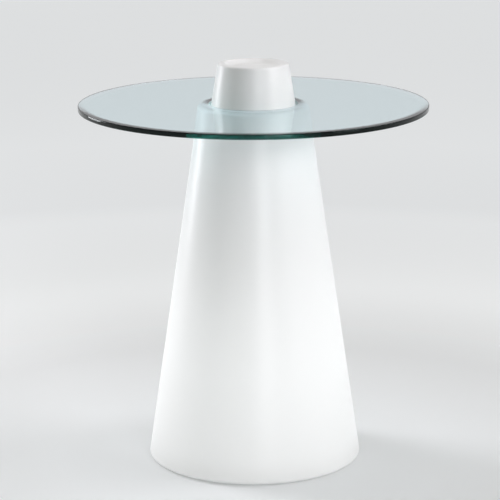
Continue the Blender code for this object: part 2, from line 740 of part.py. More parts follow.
def make_plate_screws():
    steel = look("stainless_steel", (0.62, 0.62, 0.60), 0.3, metallic=1.0)
    clamped = RECESS_HEIGHT - PLATE_SCREW_SEAT
    mesh = screw_mesh(
        "module_screw_shape",
        PLATE_SCREW_RADIUS,
        clamped + PLATE_SCREW_GRIP,
        PLATE_SCREW_HEAD_RADIUS,
        PLATE_SCREW_HEAD_HEIGHT,
        steel,
    )
    screws("module_screw", mesh, plate_screw_spots(), PLATE_SCREW_SEAT - SEAT_GAP, steel, upward=True)


def make_inserts():
    brass = look("brass", (0.80, 0.62, 0.30), 0.35, metallic=1.0)
    corners = [
        (PLATE_SCREW_HOLE, INSERT_LENGTH),
        (INSERT_RADIUS, INSERT_LENGTH),
        (INSERT_RADIUS, 0),
        (PLATE_SCREW_HOLE, 0),
    ]
    for index, (x, y) in enumerate(plate_screw_spots(), 1):
        place = (x, y, INSERT_BOTTOM)
        settle(turned(f"module_insert_{index}", corners, brass, SCREW_SIDES, place, closed=True))


# Battery


def make_battery_tray():
    plastic = look("tray_plastic", (0.10, 0.10, 0.11), 0.5)
    low = (-TRAY_HALF_LENGTH, TRAY_FRONT_Y, TRAY_BOTTOM)
    high = (TRAY_HALF_LENGTH, TRAY_CENTRE_Y + TRAY_HALF_WIDTH, CELL_AXIS)
    tray = add_piece("battery_tray", blocks([(low, high)]), plastic)
    rows = cell_rows()
    axes = [(0, y, CELL_AXIS) for y in rows]
    cut(tray, rods(axes, CELL_RADIUS + SEAT_GAP, CELL_LENGTH / 2 + SEAT_GAP), "troughs")
    reach = max(CELL_CAP_RADIUS, STRIP_HEIGHT / 2) + SEAT_GAP
    inner, outer = CELL_LENGTH / 2 - FUSE_BITE, TRAY_HALF_LENGTH - TRAY_WALL
    front, rear = rows[0] - reach, rows[-1] + reach
    low, high = CELL_AXIS - reach, CELL_AXIS + CUT_OVERRUN
    slots = [((x, front, low), (x + outer - inner, rear, high)) for x in (-outer, inner)]
    cut(tray, blocks(slots), "strip_slots")
    cut(tray, small_hole(strap_screw_spots(), CELL_AXIS, CELL_AXIS - PLATE_TOP), "screw_holes")
    settle(tray)


def make_battery_cells():
    wrap = look("cell_wrap", (0.10, 0.25, 0.55), 0.4)
    half = CELL_LENGTH / 2
    outline = [
        (0, half + CELL_CAP_HEIGHT),
        (CELL_CAP_RADIUS, half + CELL_CAP_HEIGHT),
        (CELL_CAP_RADIUS, half),
        (CELL_RADIUS, half),
        (CELL_RADIUS, -half),
        (0, -half),
    ]
    for index, y in enumerate(cell_rows(), 1):
        cell = settle(turned(f"battery_cell_{index}", outline, wrap, HOLE_SIDES, (0, y, CELL_AXIS)))
        cell.rotation_euler.y = -math.pi / 2


def make_cell_strips():
    """The welded strips at the ends of the cells. The positive one lies on the caps, at -X."""
    nickel = look("nickel", (0.72, 0.70, 0.66), 0.35, metallic=1.0)
    rows = cell_rows()
    cap_end = -CELL_LENGTH / 2 - CELL_CAP_HEIGHT - SEAT_GAP
    flat_end = CELL_LENGTH / 2 + SEAT_GAP
    half_height = STRIP_HEIGHT / 2
    for name, x in (("positive", cap_end - STRIP_THICKNESS), ("negative", flat_end)):
        low = (x, rows[0] - half_height, CELL_AXIS - half_height)
        high = (x + STRIP_THICKNESS, rows[-1] + half_height, CELL_AXIS + half_height)
        add_piece(f"cell_strip_{name}", blocks([(low, high)]), nickel)


def make_battery_strap():
    """The band over the cells, bent from a flat strip, with a foot at each end."""
    steel = look("strap_steel", (0.55, 0.55, 0.55), 0.4, metallic=1.0)
    rows = cell_rows()
    inner = rows[-1] + CELL_RADIUS + SEAT_GAP - TRAY_CENTRE_Y
    outer = inner + STRAP_THICKNESS
    foot_low = CELL_AXIS + SEAT_GAP
    foot_top = foot_low + STRAP_THICKNESS
    roof_top = STRAP_UNDERSIDE + STRAP_THICKNESS
    half_outline = [(inner, STRAP_UNDERSIDE), (inner, foot_low), (TRAY_HALF_WIDTH, foot_low)]
    half_outline += [(TRAY_HALF_WIDTH, foot_top), (outer, foot_top), (outer, roof_top)]
    outline = half_outline + [(-across, height) for across, height in half_outline[::-1]]
    curve = bpy.data.curves.new("strap_outline", "CURVE")
    curve.dimensions = "2D"
    curve.fill_mode = "BOTH"
    curve.extrude = STRAP_WIDTH / 2
    spline = curve.splines.new("POLY")
    spline.points.add(len(outline) - 1)
    for spot, (across, height) in zip(spline.points, outline):
        spot.co = (across, height, 0, 1)
    spline.use_cyclic_u = True
    flat = add_helper("strap_outline", curve, ORIGIN)
    graph = bpy.context.evaluated_depsgraph_get()
    shape = bmesh.new()
    shape.from_mesh(flat.evaluated_get(graph).to_mesh())
    bmesh.ops.remove_doubles(shape, verts=shape.verts, dist=MERGE_DISTANCE)
    upright = Matrix.Rotation(math.pi / 2, 4, "Z") @ Matrix.Rotation(math.pi / 2, 4, "X")
    bmesh.ops.transform(shape, matrix=Matrix.Translation((0, TRAY_CENTRE_Y, 0)) @ upright, verts=shape.verts)
    bpy.data.objects.remove(flat)
    strap = add_piece("battery_strap", finished(shape, "battery_strap"), steel)
    cut(strap, small_hole(strap_screw_spots(), foot_top, STRAP_THICKNESS), "screw_holes")
    settle(strap)
    small_screws("strap_screw", foot_top - PLATE_TOP, strap_screw_spots(), foot_top)


def make_battery_leads():
    for name, side, colour in (("positive", -1, (0.60, 0.04, 0.04)), ("negative", 1, (0.03, 0.03, 0.03))):
        cap = CELL_CAP_HEIGHT if side < 0 else 0
        strip_face = CELL_LENGTH / 2 + cap + SEAT_GAP + STRIP_THICKNESS
        start = (side * (strip_face + SEAT_GAP), cell_rows()[0], CELL_AXIS + STRIP_HEIGHT / 2 - LEAD_RADIUS)
        end = (side * CONNECTOR_X, BOARD_REAR_Y + SEAT_GAP, BOARD_TOP + CONNECTOR_HEIGHT / 2)
        route = lead_route(start, (side, 0, 0), end, (0, 1, 0), LEAD_REACH, LEAD_POINTS)
        tube(f"battery_lead_{name}", route, LEAD_RADIUS, look(f"lead_{name}", colour, 0.5))


# Control board


def make_control_board():
    green = look("board_green", (0.05, 0.25, 0.12), 0.4)
    half = BOARD_LENGTH / 2
    low = (-half, BOARD_FRONT_Y, BOARD_BOTTOM)
    board = add_piece("control_board", blocks([(low, (half, BOARD_REAR_Y, BOARD_TOP))]), green)
    fuse(board, blocks(board_components()), "components")
    cut(board, small_hole(board_screw_spots(), BOARD_TOP, BOARD_THICKNESS), "screw_holes")
    settle(board)
    small_screws("board_screw", BOARD_THICKNESS, board_screw_spots(), BOARD_TOP)


def board_components():
    """The parts on the board's top, its battery and lamp connectors, and the diode under it."""
    foot = BOARD_TOP - BOARD_THICKNESS / 2
    boxes = []
    for across, along, width, depth, height in BOARD_COMPONENT_SHARES:
        x = (across - 1 / 2) * BOARD_LENGTH
        y = BOARD_FRONT_Y + along * BOARD_WIDTH
        half_x, half_y = width * BOARD_LENGTH / 2, depth * BOARD_WIDTH / 2
        top = BOARD_TOP + height * COMPONENT_HEIGHT
        boxes.append(((x - half_x, y - half_y, foot), (x + half_x, y + half_y, top)))
    half = CONNECTOR_SIDE / 2
    for x in (-CONNECTOR_X, CONNECTOR_X):
        low = (x - half, BOARD_REAR_Y - CONNECTOR_SIDE, foot)
        boxes.append((low, (x + half, BOARD_REAR_Y, BOARD_TOP + CONNECTOR_HEIGHT)))
    low = (LAMP_LEAD_X - half, BOARD_CENTRE_Y - half, foot)
    boxes.append((low, (LAMP_LEAD_X + half, BOARD_CENTRE_Y + half, BOARD_TOP + LAMP_CONNECTOR_HEIGHT)))
    half = STATUS_DIODE_SIDE / 2
    x, y = LENS_SPOT
    low = (x - half, y - half, BOARD_BOTTOM - STATUS_DIODE_HEIGHT)
    boxes.append((low, (x + half, y + half, foot)))
    return boxes


def make_tactile_switch():
    x, y = BUTTON_SPOT
    half = SWITCH_SIDE / 2
    body_low = SWITCH_TOP - SWITCH_HEIGHT
    body = blocks([((x - half, y - half, body_low), (x + half, y + half, SWITCH_TOP))])
    switch = add_piece("tactile_switch", body, look("switch_black", (0.05, 0.05, 0.05), 0.4))
    fuse(switch, pegs([BUTTON_SPOT], PLUNGER_RADIUS, PLUNGER_BOTTOM, body_low + FUSE_BITE), "plunger")
    settle(switch)


def make_charge_socket():
    """The charging jack between the plate and the board, with its mouth, its bore and the pin in it."""
    x, y = SOCKET_SPOT
    half = SOCKET_SIDE / 2
    low = PLATE_TOP + SEAT_GAP
    body = blocks([((x - half, y - half, low), (x + half, y + half, BOARD_BOTTOM - SEAT_GAP))])
    socket = add_piece("charge_socket", body, look("socket_black", (0.04, 0.04, 0.04), 0.35))
    bore_top = low + SOCKET_BORE_DEPTH
    mouth_top = low + SOCKET_MOUTH_DEPTH
    cut(socket, pegs([SOCKET_SPOT], SOCKET_BORE_RADIUS, low - CUT_OVERRUN, bore_top), "bore")
    cut(socket, pegs([SOCKET_SPOT], SOCKET_MOUTH_RADIUS, low - CUT_OVERRUN, mouth_top), "mouth")
    fuse(socket, pegs([SOCKET_SPOT], SOCKET_PIN_RADIUS, mouth_top, bore_top + FUSE_BITE, SCREW_SIDES), "pin")
    settle(socket)


def make_status_lens():
    flange_radius = LENS_RADIUS + LENS_FLANGE_WIDTH
    flange_low = PLATE_TOP + SEAT_GAP
    flange_high = flange_low + LENS_FLANGE_THICKNESS
    top = BOARD_BOTTOM - STATUS_DIODE_HEIGHT - SEAT_GAP
    outline = [
        (0, top),
        (LENS_RADIUS, top),
        (LENS_RADIUS, flange_high),
        (flange_radius, flange_high),
        (flange_radius, flange_low),
        (LENS_RADIUS, flange_low),
        (LENS_RADIUS, PLATE_BOTTOM),
        (0, PLATE_BOTTOM),
    ]
    clear = look("lens_clear", (0.85, 0.95, 0.85), 0.1, transmission=0.9)
    settle(turned("status_lens", outline, clear, HOLE_SIDES, (*LENS_SPOT, 0)))


# Button and flap


def make_power_button():
    """The button, which slides up into the plate. Its origin is at its flange's seat."""
    flange_radius = BUTTON_RADIUS + BUTTON_FLANGE_WIDTH
    face = PLATE_BOTTOM - BUTTON_PROUD - FLANGE_BOTTOM
    stem = STEM_TOP - FLANGE_BOTTOM
    outline = rounded(
        [
            (0, stem, 0),
            (BUTTON_STEM_RADIUS, stem, 0),
            (BUTTON_STEM_RADIUS, BUTTON_FLANGE_THICKNESS, 0),
            (flange_radius, BUTTON_FLANGE_THICKNESS, 0),
            (flange_radius, 0, 0),
            (BUTTON_RADIUS, 0, 0),
            (BUTTON_RADIUS, face, BUTTON_EDGE_ROUNDING),
            (0, face, 0),
        ]
    )
    colour = look("button_white", (0.85, 0.85, 0.84), 0.4)
    settle(turned("power_button", outline, colour, HOLE_SIDES, (*BUTTON_SPOT, FLANGE_BOTTOM)))


def make_button_spring():
    """The coil that brings the button back, between its flange and its guide."""
    x, y = BUTTON_SPOT
    low = SPRING_BOTTOM + SPRING_WIRE_RADIUS
    climb = SPRING_HEIGHT - 2 * SPRING_WIRE_RADIUS
    last = SPRING_TURNS * SPRING_POINTS_PER_TURN
    points = []
    for index in range(last + 1):
        angle = math.tau * index / SPRING_POINTS_PER_TURN
        height = low + climb * index / last
        points.append((x + SPRING_RADIUS * math.cos(angle), y + SPRING_RADIUS * math.sin(angle), height))
    steel = look("spring_steel", (0.6, 0.6, 0.58), 0.3, metallic=1.0)
    tube("button_spring", points, SPRING_WIRE_RADIUS, steel, resolution=1)


def make_button_guide():
    """The cup over the button's flange, held by a screw in each of its two lugs."""
    low = PLATE_TOP + SEAT_GAP
    outline = [
        (BUTTON_STEM_RADIUS + RUNNING_GAP, GUIDE_TOP),
        (GUIDE_RADIUS, GUIDE_TOP),
        (GUIDE_RADIUS, low),
        (GUIDE_INNER_RADIUS, low),
        (GUIDE_INNER_RADIUS, GUIDE_CEILING),
        (BUTTON_STEM_RADIUS + RUNNING_GAP, GUIDE_CEILING),
    ]
    plastic = look("guide_plastic", (0.30, 0.30, 0.31), 0.5)
    guide = turned("button_guide", outline, plastic, HOLE_SIDES * 2, (*BUTTON_SPOT, 0), closed=True)
    lug_top = low + GUIDE_WALL
    spots = guide_screw_spots()
    x, y = BUTTON_SPOT
    local_spots = [(spot_x - x, spot_y - y) for spot_x, spot_y in spots]
    fuse(guide, pegs(local_spots, GUIDE_LUG_RADIUS, low, lug_top), "lugs")
    cut(guide, small_hole(local_spots, lug_top, GUIDE_WALL), "screw_holes")
    settle(guide)
    small_screws("guide_screw", lug_top - PLATE_TOP, spots, lug_top)


def make_charge_flap():
    """The flap over the socket. Its origin is on its hinge's axis, and its free end points to -Y."""
    half = FLAP_WIDTH / 2
    outer_face = -FLAP_BARREL_RADIUS
    panel = ((-half, -FLAP_LENGTH, outer_face), (half, 0, outer_face + FLAP_THICKNESS))
    colour = look("flap_plastic", (0.70, 0.70, 0.69), 0.5)
    flap = add_piece("charge_flap", blocks([panel]), colour, (SOCKET_X, FLAP_AXIS_Y, FLAP_AXIS_HEIGHT))
    fuse(flap, rods([ORIGIN], FLAP_BARREL_RADIUS, half), "barrel")
    cut(flap, rods([ORIGIN], FLAP_PIN_RADIUS + SEAT_GAP, half + CUT_OVERRUN, SCREW_SIDES), "pin_bore")
    notch_y = -FLAP_LENGTH + FLAP_NOTCH_DEPTH - FLAP_NOTCH_RADIUS
    low, high = outer_face - CUT_OVERRUN, outer_face + FLAP_THICKNESS + CUT_OVERRUN
    cut(flap, pegs([(0, notch_y)], FLAP_NOTCH_RADIUS, low, high), "finger_notch")
    settle(flap)


def make_flap_pin():
    half = FLAP_WIDTH / 2 + FLAP_EDGE_GAP + FLAP_PIN_HOLD
    steel = look("pin_steel", (0.65, 0.65, 0.63), 0.25, metallic=1.0)
    axis = (SOCKET_X, FLAP_AXIS_Y, FLAP_AXIS_HEIGHT)
    settle(add_piece("flap_pin", rods([ORIGIN], FLAP_PIN_RADIUS, half, SCREW_SIDES), steel, axis))


# Lamp


def make_heat_spreader():
    aluminium = look("aluminium", (0.80, 0.80, 0.81), 0.35, metallic=1.0)
    spreader = disc("heat_spreader", LAMP_RADIUS, LAMP_FLOOR, SPREADER_TOP, aluminium)
    low, high = LAMP_FLOOR - CUT_OVERRUN, SPREADER_TOP + CUT_OVERRUN
    spots = lamp_screw_spots() + diode_screw_spots()
    cut(spreader, pegs(spots, SMALL_HOLE, low, high, SCREW_SIDES), "screw_holes")
    cut(spreader, pegs([(LAMP_LEAD_X, BOARD_CENTRE_Y)], LAMP_LEAD_HOLE, low, high), "lead_hole")
    settle(spreader)


def make_led_board():
    """The white board with a ring and a core of light diodes."""
    white = look("diode_board_white", (0.88, 0.88, 0.86), 0.4, glow=0.6)
    board = disc("led_board", DIODE_BOARD_RADIUS, DIODE_BOARD_BOTTOM, DIODE_BOARD_TOP, white)
    half = DIODE_SIDE / 2
    foot = DIODE_BOARD_TOP - DIODE_BOARD_THICKNESS / 2
    spots = on_circle(DIODE_RING_RADIUS, DIODE_RING_COUNT) + on_circle(DIODE_CORE_RADIUS, DIODE_CORE_COUNT)
    diodes = []
    for x, y in spots:
        diodes.append(((x - half, y - half, foot), (x + half, y + half, DIODE_BOARD_TOP + DIODE_HEIGHT)))
    fuse(board, blocks(diodes), "diodes")
    cut(board, small_hole(diode_screw_spots(), DIODE_BOARD_TOP, DIODE_BOARD_THICKNESS), "screw_holes")
    settle(board)
    clamped = DIODE_BOARD_TOP - SPREADER_TOP
    small_screws("led_screw", clamped, diode_screw_spots(), DIODE_BOARD_TOP)


def make_diffuser_dome():
    opal = look("opal_diffuser", (0.93, 0.93, 0.91), 0.35, transmission=0.4, glow=0.4)
    rise = DOME_HEIGHT - DOME_FLANGE_THICKNESS
    outer = dome_arc(DOME_RADIUS, DOME_FLANGE_TOP, rise)
    inner = dome_arc(DOME_INNER_RADIUS, DOME_BOTTOM, DOME_HEIGHT - DOME_WALL)
    flange = [(LAMP_RADIUS, DOME_FLANGE_TOP), (LAMP_RADIUS, DOME_BOTTOM)]
    dome = turned("diffuser_dome", outer + flange + inner[::-1], opal, DOME_STEPS, offset=HALF_STEP)
    low, high = DOME_BOTTOM - CUT_OVERRUN, DOME_FLANGE_TOP + CUT_OVERRUN
    cut(dome, pegs(lamp_screw_spots(), SMALL_HOLE, low, high, SCREW_SIDES), "screw_holes")
    settle(dome)


def make_dome_clamp_ring():
    plastic = look("clamp_plastic", (0.80, 0.80, 0.79), 0.45)
    inner, low, high = CLAMP_RING_INNER_RADIUS, CLAMP_RING_BOTTOM, CLAMP_RING_TOP
    clamp = ring("dome_clamp_ring", inner, LAMP_RADIUS, low, high, plastic, offset=HALF_STEP)
    low, high = low - CUT_OVERRUN, high + CUT_OVERRUN
    cut(clamp, pegs(lamp_screw_spots(), SMALL_HOLE, low, high, SCREW_SIDES), "screw_holes")
    settle(clamp)
    small_screws("lamp_screw", CLAMP_RING_TOP - LAMP_FLOOR, lamp_screw_spots(), CLAMP_RING_TOP)


def make_lamp_lead():
    """The sheathed lead from the control board up to the diode board's underside."""
    start = (LAMP_LEAD_X, BOARD_CENTRE_Y, BOARD_TOP + LAMP_CONNECTOR_HEIGHT + SEAT_GAP)
    end = (LAMP_LEAD_X, BOARD_CENTRE_Y, DIODE_BOARD_BOTTOM - SEAT_GAP)
    route = lead_route(start, (0, 0, 1), end, (0, 0, -1), LAMP_LEAD_REACH, LEAD_POINTS)
    tube("lamp_lead", route, LAMP_LEAD_RADIUS, look("lead_white", (0.8, 0.8, 0.8), 0.5))


clear_scene()
parts = add_collection("light_up_table")
cutters = add_collection("cutters")

make_base_shell()
make_feet()
make_glass_top()
make_glass_seat_ring()
make_module_plate()
make_module_gasket()
make_plate_screws()
make_inserts()
make_battery_tray()
make_battery_cells()
make_cell_strips()
make_battery_strap()
make_battery_leads()
make_control_board()
make_tactile_switch()
make_charge_socket()
make_status_lens()
make_power_button()
make_button_spring()
make_button_guide()
make_charge_flap()
make_flap_pin()
make_heat_spreader()
make_led_board()
make_diffuser_dome()
make_dome_clamp_ring()
make_lamp_lead()
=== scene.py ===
"""The looks of the light up table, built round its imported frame.

Metres, +Z up. The front faces -Y, and the floor is at height zero.
"""

import math

import bmesh
import bpy
from mathutils import Euler, Matrix, Vector


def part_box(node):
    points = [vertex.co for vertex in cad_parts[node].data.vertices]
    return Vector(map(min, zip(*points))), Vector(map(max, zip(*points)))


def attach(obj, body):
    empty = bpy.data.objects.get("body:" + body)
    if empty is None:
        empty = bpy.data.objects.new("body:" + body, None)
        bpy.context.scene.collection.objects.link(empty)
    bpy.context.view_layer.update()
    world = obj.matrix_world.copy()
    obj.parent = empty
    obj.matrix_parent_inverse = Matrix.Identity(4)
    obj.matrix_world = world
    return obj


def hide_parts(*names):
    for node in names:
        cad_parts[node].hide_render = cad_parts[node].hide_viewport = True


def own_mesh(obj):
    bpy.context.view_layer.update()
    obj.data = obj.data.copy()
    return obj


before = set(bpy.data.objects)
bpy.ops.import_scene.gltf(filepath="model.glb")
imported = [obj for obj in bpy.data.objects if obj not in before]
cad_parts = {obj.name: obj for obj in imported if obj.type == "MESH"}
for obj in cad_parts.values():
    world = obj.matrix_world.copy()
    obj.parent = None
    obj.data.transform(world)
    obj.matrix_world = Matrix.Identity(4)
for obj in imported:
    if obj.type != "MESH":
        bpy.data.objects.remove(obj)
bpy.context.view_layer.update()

# Fineness of the dressed pieces
SHELL_STEPS = 192
GLASS_STEPS = 256
PLATE_STEPS = 144
FOOT_STEPS = 64
SMALL_STEPS = 40
HEX_SIDES = 6
ARC_STEP = math.radians(9)
SHARP_ANGLE = math.radians(35)
LONGEST_STRETCH = 0.020  # between two rings of points along a straight wall
SOFTEN_SEGMENTS = 3
FLOOR_CELLS = 8
MERGE_DISTANCE = 0.00001
WELD_DISTANCE = 0.000001
CUT_OVERRUN = 0.002
FUSE_BITE = 0.001
SEAT_GAP = 0.0003
RUNNING_GAP = 0.0004

# Shell, as the frame has it
TABLE_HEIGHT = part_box("base_shell")[1].z
SHELL_FOOT_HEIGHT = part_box("base_shell")[0].z
SHELL_WALL = 0.0045
CONE_FOOT_RADIUS = 0.2138
CONE_SHOULDER_RADIUS = 0.1095
SHOULDER_HEIGHT = 0.7082
STUB_FOOT_RADIUS = 0.0845
STUB_TOP_RADIUS = 0.0700
STUB_FOOT_FILLET = 0.0030
SHOULDER_ROUNDING = 0.0070
BASE_ROUNDING = 0.0080
RIM_ROUNDING = 0.0050
DISH_MOUTH_RADIUS = 0.0580
DISH_FLOOR_RADIUS = 0.0470
DISH_FLOOR_HEIGHT = 0.791
DISH_CORNER_ROUNDING = 0.012
REST_RING_WIDTH = 0.049
RECESS_HEIGHT = 0.034
RECESS_DRAFT = 0.006
RECESS_EDGE_ROUNDING = 0.004
RECESS_CORNER_ROUNDING = 0.006
OPENING_RADIUS = 0.082
COLLAR_WIDTH = 0.020
COLLAR_TOP = 0.0466
FOOT_POCKET_DEPTH = 0.0022
INSERT_POCKET_TOP = 0.0446
INSERT_RADIUS = 0.0035

# Glass and its seat
GLASS_HOLE_RADIUS = 0.0880
GLASS_EDGE_ROUNDING = 0.0020
GLASS_HOLE_ROUNDING = 0.0010
GROUND_REACH = 0.0012  # of the hole's ground edge into the face
SEAT_RING_INNER_RADIUS = 0.0930
SEAT_RING_EDGE = 0.0004

# Feet
FOOT_COUNT = 4
FOOT_EDGE_ROUNDING = 0.0007
FOOT_GROOVE_RADIUS = 0.0065
FOOT_GROOVE_WIDTH = 0.0012
FOOT_GROOVE_DEPTH = 0.0005

# Module plate and what shows in it
PLATE_THICKNESS = 0.005
PLATE_EDGE_ROUNDING = 0.0015
PLATE_WALL_RADIUS = 0.081
PLATE_WALL = 0.0025
PLATE_WALL_HEIGHT = 0.016
HOLE_CHAMFER = 0.0005
PLATE_SCREW_HOLE = 0.0021
PLATE_SCREW_HEAD_HOLE = 0.0040
PLATE_SCREW_SEAT = 0.0296
SMALL_HOLE = 0.0015
POST_RADIUS = 0.0035
LAMP_POST_TOP = 0.0601
BOARD_POST_TOP = 0.0503
BLIND_HOLE_DEPTH = 0.0041
LENS_RADIUS = 0.0020
PLUG_HOLE_RADIUS = 0.0043
PLATE_GROOVE_RADIUS = 0.0790
PLATE_GROOVE_WIDTH = 0.0014
PLATE_GROOVE_DEPTH = 0.0008
BUTTON_RADIUS = 0.0090
BUTTON_DISH_RADIUS = 0.0070
BUTTON_DISH_DEPTH = 0.0004
BUTTON_EDGE_ROUNDING = 0.0006
BUTTON_FLANGE_THICKNESS = 0.0015
BUTTON_STEM_RADIUS = 0.0030
FLAP_LENGTH = 0.0138
FLAP_THICKNESS = 0.0018
FLAP_BARREL_RADIUS = 0.0016
FLAP_EDGE_GAP = 0.0004
FLAP_HINGE_GAP = 0.0007
FLAP_EDGE_ROUNDING = 0.0003
FLAP_NOTCH_RADIUS = 0.0030
FLAP_NOTCH_DEPTH = 0.0010
FLAP_PIN_RADIUS = 0.0007
FLAP_PIN_HOLD = 0.0020

# Dome
DOME_RADIUS = 0.0640
DOME_WALL = 0.0020
DOME_FLANGE_THICKNESS = 0.0020
DOME_ARC_POINTS = 24

# Screws: the radius and the height of the head, and the radius of the shank
PLATE_SCREW_SIZES = (0.0036, 0.0024, 0.0018)
SMALL_SCREW_SIZES = (0.0024, 0.0015, 0.0012)
HEX_SOCKET_SHARE = 0.5
HEAD_CHAMFER_SHARE = 0.18

# Spring
SPRING_RADIUS = 0.0062
SPRING_WIRE_RADIUS = 0.00035
SPRING_TURNS = 4
SPRING_POINTS_PER_TURN = 24
SPRING_WIRE_FINENESS = 3

# Skins: the share and the size of the uneven colour, the gloss and how uneven it is, and the size
# and the depth of the grain
SHELL_SKIN = {
    "mottle": 0.008,
    "mottle_size": 0.12,
    "roughness": 0.30,
    "uneven": 0.03,
    "grain_size": 0.0032,
    "grain_depth": 0.00003,
}
FLOOR_SKIN = {
    "mottle": 0.006,
    "mottle_size": 0.9,
    "roughness": 0.75,
    "uneven": 0.05,
    "grain_size": 0.004,
    "grain_depth": 0.00003,
}
MOULDED_SKIN = {"mottle_size": 0.030, "uneven": 0.06}
METAL_SKIN = {"mottle": 0.05, "mottle_size": 0.010, "uneven": 0.08, "grain_size": 0.0007}
BROAD_DETAIL = 4.0
FINE_DETAIL = 2.0
MOTTLE_FROM, MOTTLE_TO = 0.3, 0.7  # of the broad noise, between which the colour changes
ALONG_X = (0.1, 1, 1)  # rolling marks, drawn out along one axis
ALONG_Y = (1, 0.1, 1)
ALONG_Z = (1, 1, 0.2)

# Colours of the shell, the glass and the floor
SHELL_COLOUR = (0.88, 0.88, 0.872)
REFRACTIVE_INDEX = 1.5
GLASS_FACE_COLOUR = (0.925, 0.955, 1.0)
GLASS_RIM_TINT_AND_SHADE = (0.115, 0.125, 0.11)
GLASS_FACE_GLOSS = (1.0, 1.0, 1.0)
GLASS_RIM_DIMMED_GLOSS = (0.36, 0.46, 0.44)
GLASS_RIM_SHARE = 0.4  # of the rim's rounding, where the rim's green tint with its painted shade and its dimmed gloss are reached
GLASS_BODY_COLOUR = (0.55, 0.86, 0.83, 1)
GLASS_BODY_DENSITY = 22.0
GLASS_SHADOW_COLOUR = (0.90, 0.91, 0.91, 1)
GROUND_ROUGHNESS = 0.45
GROUND_TRANSMISSION = 0.7
FLOOR_COLOUR = (0.778, 0.787, 0.787)
FLOOR_SPECULAR = 0.1
DOME_GLOW_COLOUR = (1.0, 0.98, 0.92, 1)
DOME_GLOW = 0.5

# Camera, as the photograph has it, with its angles in radians
CAMERA_PLACE = (0, -4.2967, 1.4487)
CAMERA_DOWN = 0.23441
CAMERA_LEFT = 0.00186
CAMERA_ROLL = -0.0044
FOCAL_PIXELS = 2211.5
IMAGE_PIXELS = 500
SENSOR_WIDTH = 36  # millimetres

# Light
FLOOR_REACH = 40
WORLD_LEVEL = 0.164
WORLD_COLOUR = (1.0, 0.995, 0.85, 1)
STUDIO_LEVEL = 0.70
STUDIO_FRONT_LEVEL = 0.30  # of the room in front of the table, to gloss and glass
STUDIO_FRONT_BLEND = 0.3  # half the width of the change from front to back
STUDIO_COLOUR = (0.975, 0.98, 1.0, 1)
LAMP_COLOUR = (0.973, 0.963, 1.0)
# Name, azimuth from +X in degrees, distance from the axis, height, height of its aim, width and
# height of the lamp, spread in degrees, and radiance
LAMPS = (
    ("left_back_low", 150, 3.15, 1.10, 0.45, 1.0, 1.8, 180, 5.05),
    ("front_low", 285, 3.15, 1.10, 0.45, 1.0, 1.8, 130, 2.04),
    ("right_front_low", 330, 3.15, 1.10, 0.45, 1.0, 1.8, 130, 0.48),
    ("right_high", 0, 2.62, 2.38, 0.45, 1.6, 1.6, 130, 1.99),
    ("overhead", 0, 0.0, 4.0, 0.45, 2.5, 2.5, 180, 1.26),
    ("right_narrow", 330, 2.6, 1.6, 1.0, 1.0, 0.7, 30, 0.50),
    ("left_back_near", 150, 1.3, 1.35, 0.72, 0.7, 0.7, 130, 3.47),
)

# Share of the reach from the middle of the floor, and the light that the eye, gloss and glass get there
FLOOR_GLOW_REACH = 10
FLOOR_GLOW = (
    (0.00, 0.05),
    (0.04, 0.136),
    (0.08, 0.137),
    (0.14, 0.389),
    (0.22, 0.591),
    (0.34, 0.654),
    (0.50, 0.658),
    (0.75, 0.667),
    (1.00, 0.815),
)
FLOOR_PAINTED_SHADE = ((0.13, 1.0), (0.24, 0.45))  # painted shade: the paint darkens by the same share away from the table, to dim the lamps' pools of light on the far floor
FLOOR_GLOW_COLOUR = (0.96, 0.979, 1.0, 1)

# Share of the table's height, and the strength of the painted glow there, which stands in for the light of
# the lamp inside coming through the wall and lifts the wall's shading
SHELL_GLOW = (
    (0.00, 0.162),
    (0.06, 0.266),
    (0.15, 0.316),
    (0.26, 0.35),
    (0.40, 0.307),
    (0.55, 0.198),
    (0.72, 0.11),
    (0.86, 0.07),
    (0.89, 0.0),
)
SHELL_GLOW_COLOUR = (0.95, 0.983, 1.0, 1)


# Outlines


def rounded(corners, closed=False):
    """The points of an outline whose corners, (radius, height, rounding), become tangent arcs."""
    points = []
    last = len(corners) - 1
    for index, (radius, height, rounding) in enumerate(corners):
        if rounding == 0 or (not closed and index in (0, last)):
            points.append((radius, height))
            continue
        corner = Vector((radius, height))
        before = (Vector(corners[index - 1][:2]) - corner).normalized()
        after = (Vector(corners[(index + 1) % len(corners)][:2]) - corner).normalized()
        half = before.angle(after) / 2
        centre = corner + (before + after).normalized() * rounding / math.sin(half)
        spoke = corner + before * rounding / math.tan(half) - centre
        turn = math.pi - 2 * half
        way = 1 if before.cross(after) < 0 else -1
        steps = math.ceil(turn / ARC_STEP)
        for step in range(steps + 1):
            points.append(tuple(centre + Matrix.Rotation(way * turn * step / steps, 2) @ spoke))
    return points


def inset(corners, distance):
    """The corners of a wall's inner face, from an outline that runs down its outer side."""
    spots = [Vector(corner[:2]) for corner in corners]
    ways = [(end - start).normalized() for start, end in zip(spots, spots[1:])]
    sides = [Vector((way.y, -way.x)) for way in ways]
    moved = []
    for index, (spot, corner) in enumerate(zip(spots, corners)):
        before = sides[max(index - 1, 0)]
        after = sides[min(index, len(sides) - 1)]
        spot = spot + (before + after) * distance / (1 + before.dot(after))
        bulges = before.cross(after) < 0
        rounding = corner[2] - distance if bulges else corner[2] + distance
        moved.append((spot.x, spot.y, max(rounding, 0)))
    return moved


def stretched(points, closed):
    """The same outline with long straight runs divided, so that smooth shading stays true."""
    ends = points[1:] + points[:1] if closed else points[1:]
    result = []
    for start, end in zip(points, ends):
        start, end = Vector(start), Vector(end)
        pieces = max(1, math.ceil((end - start).length / LONGEST_STRETCH))
        result += [tuple(start.lerp(end, piece / pieces)) for piece in range(pieces)]
    return result if closed else result + [points[-1]]


def on_circle(radius, count, start=0.0):
    """The (x, y) spots of a count of things spread evenly round a circle."""
    angles = [start + math.tau * index / count for index in range(count)]
    return [(radius * math.cos(angle), radius * math.sin(angle)) for angle in angles]


# Shapes


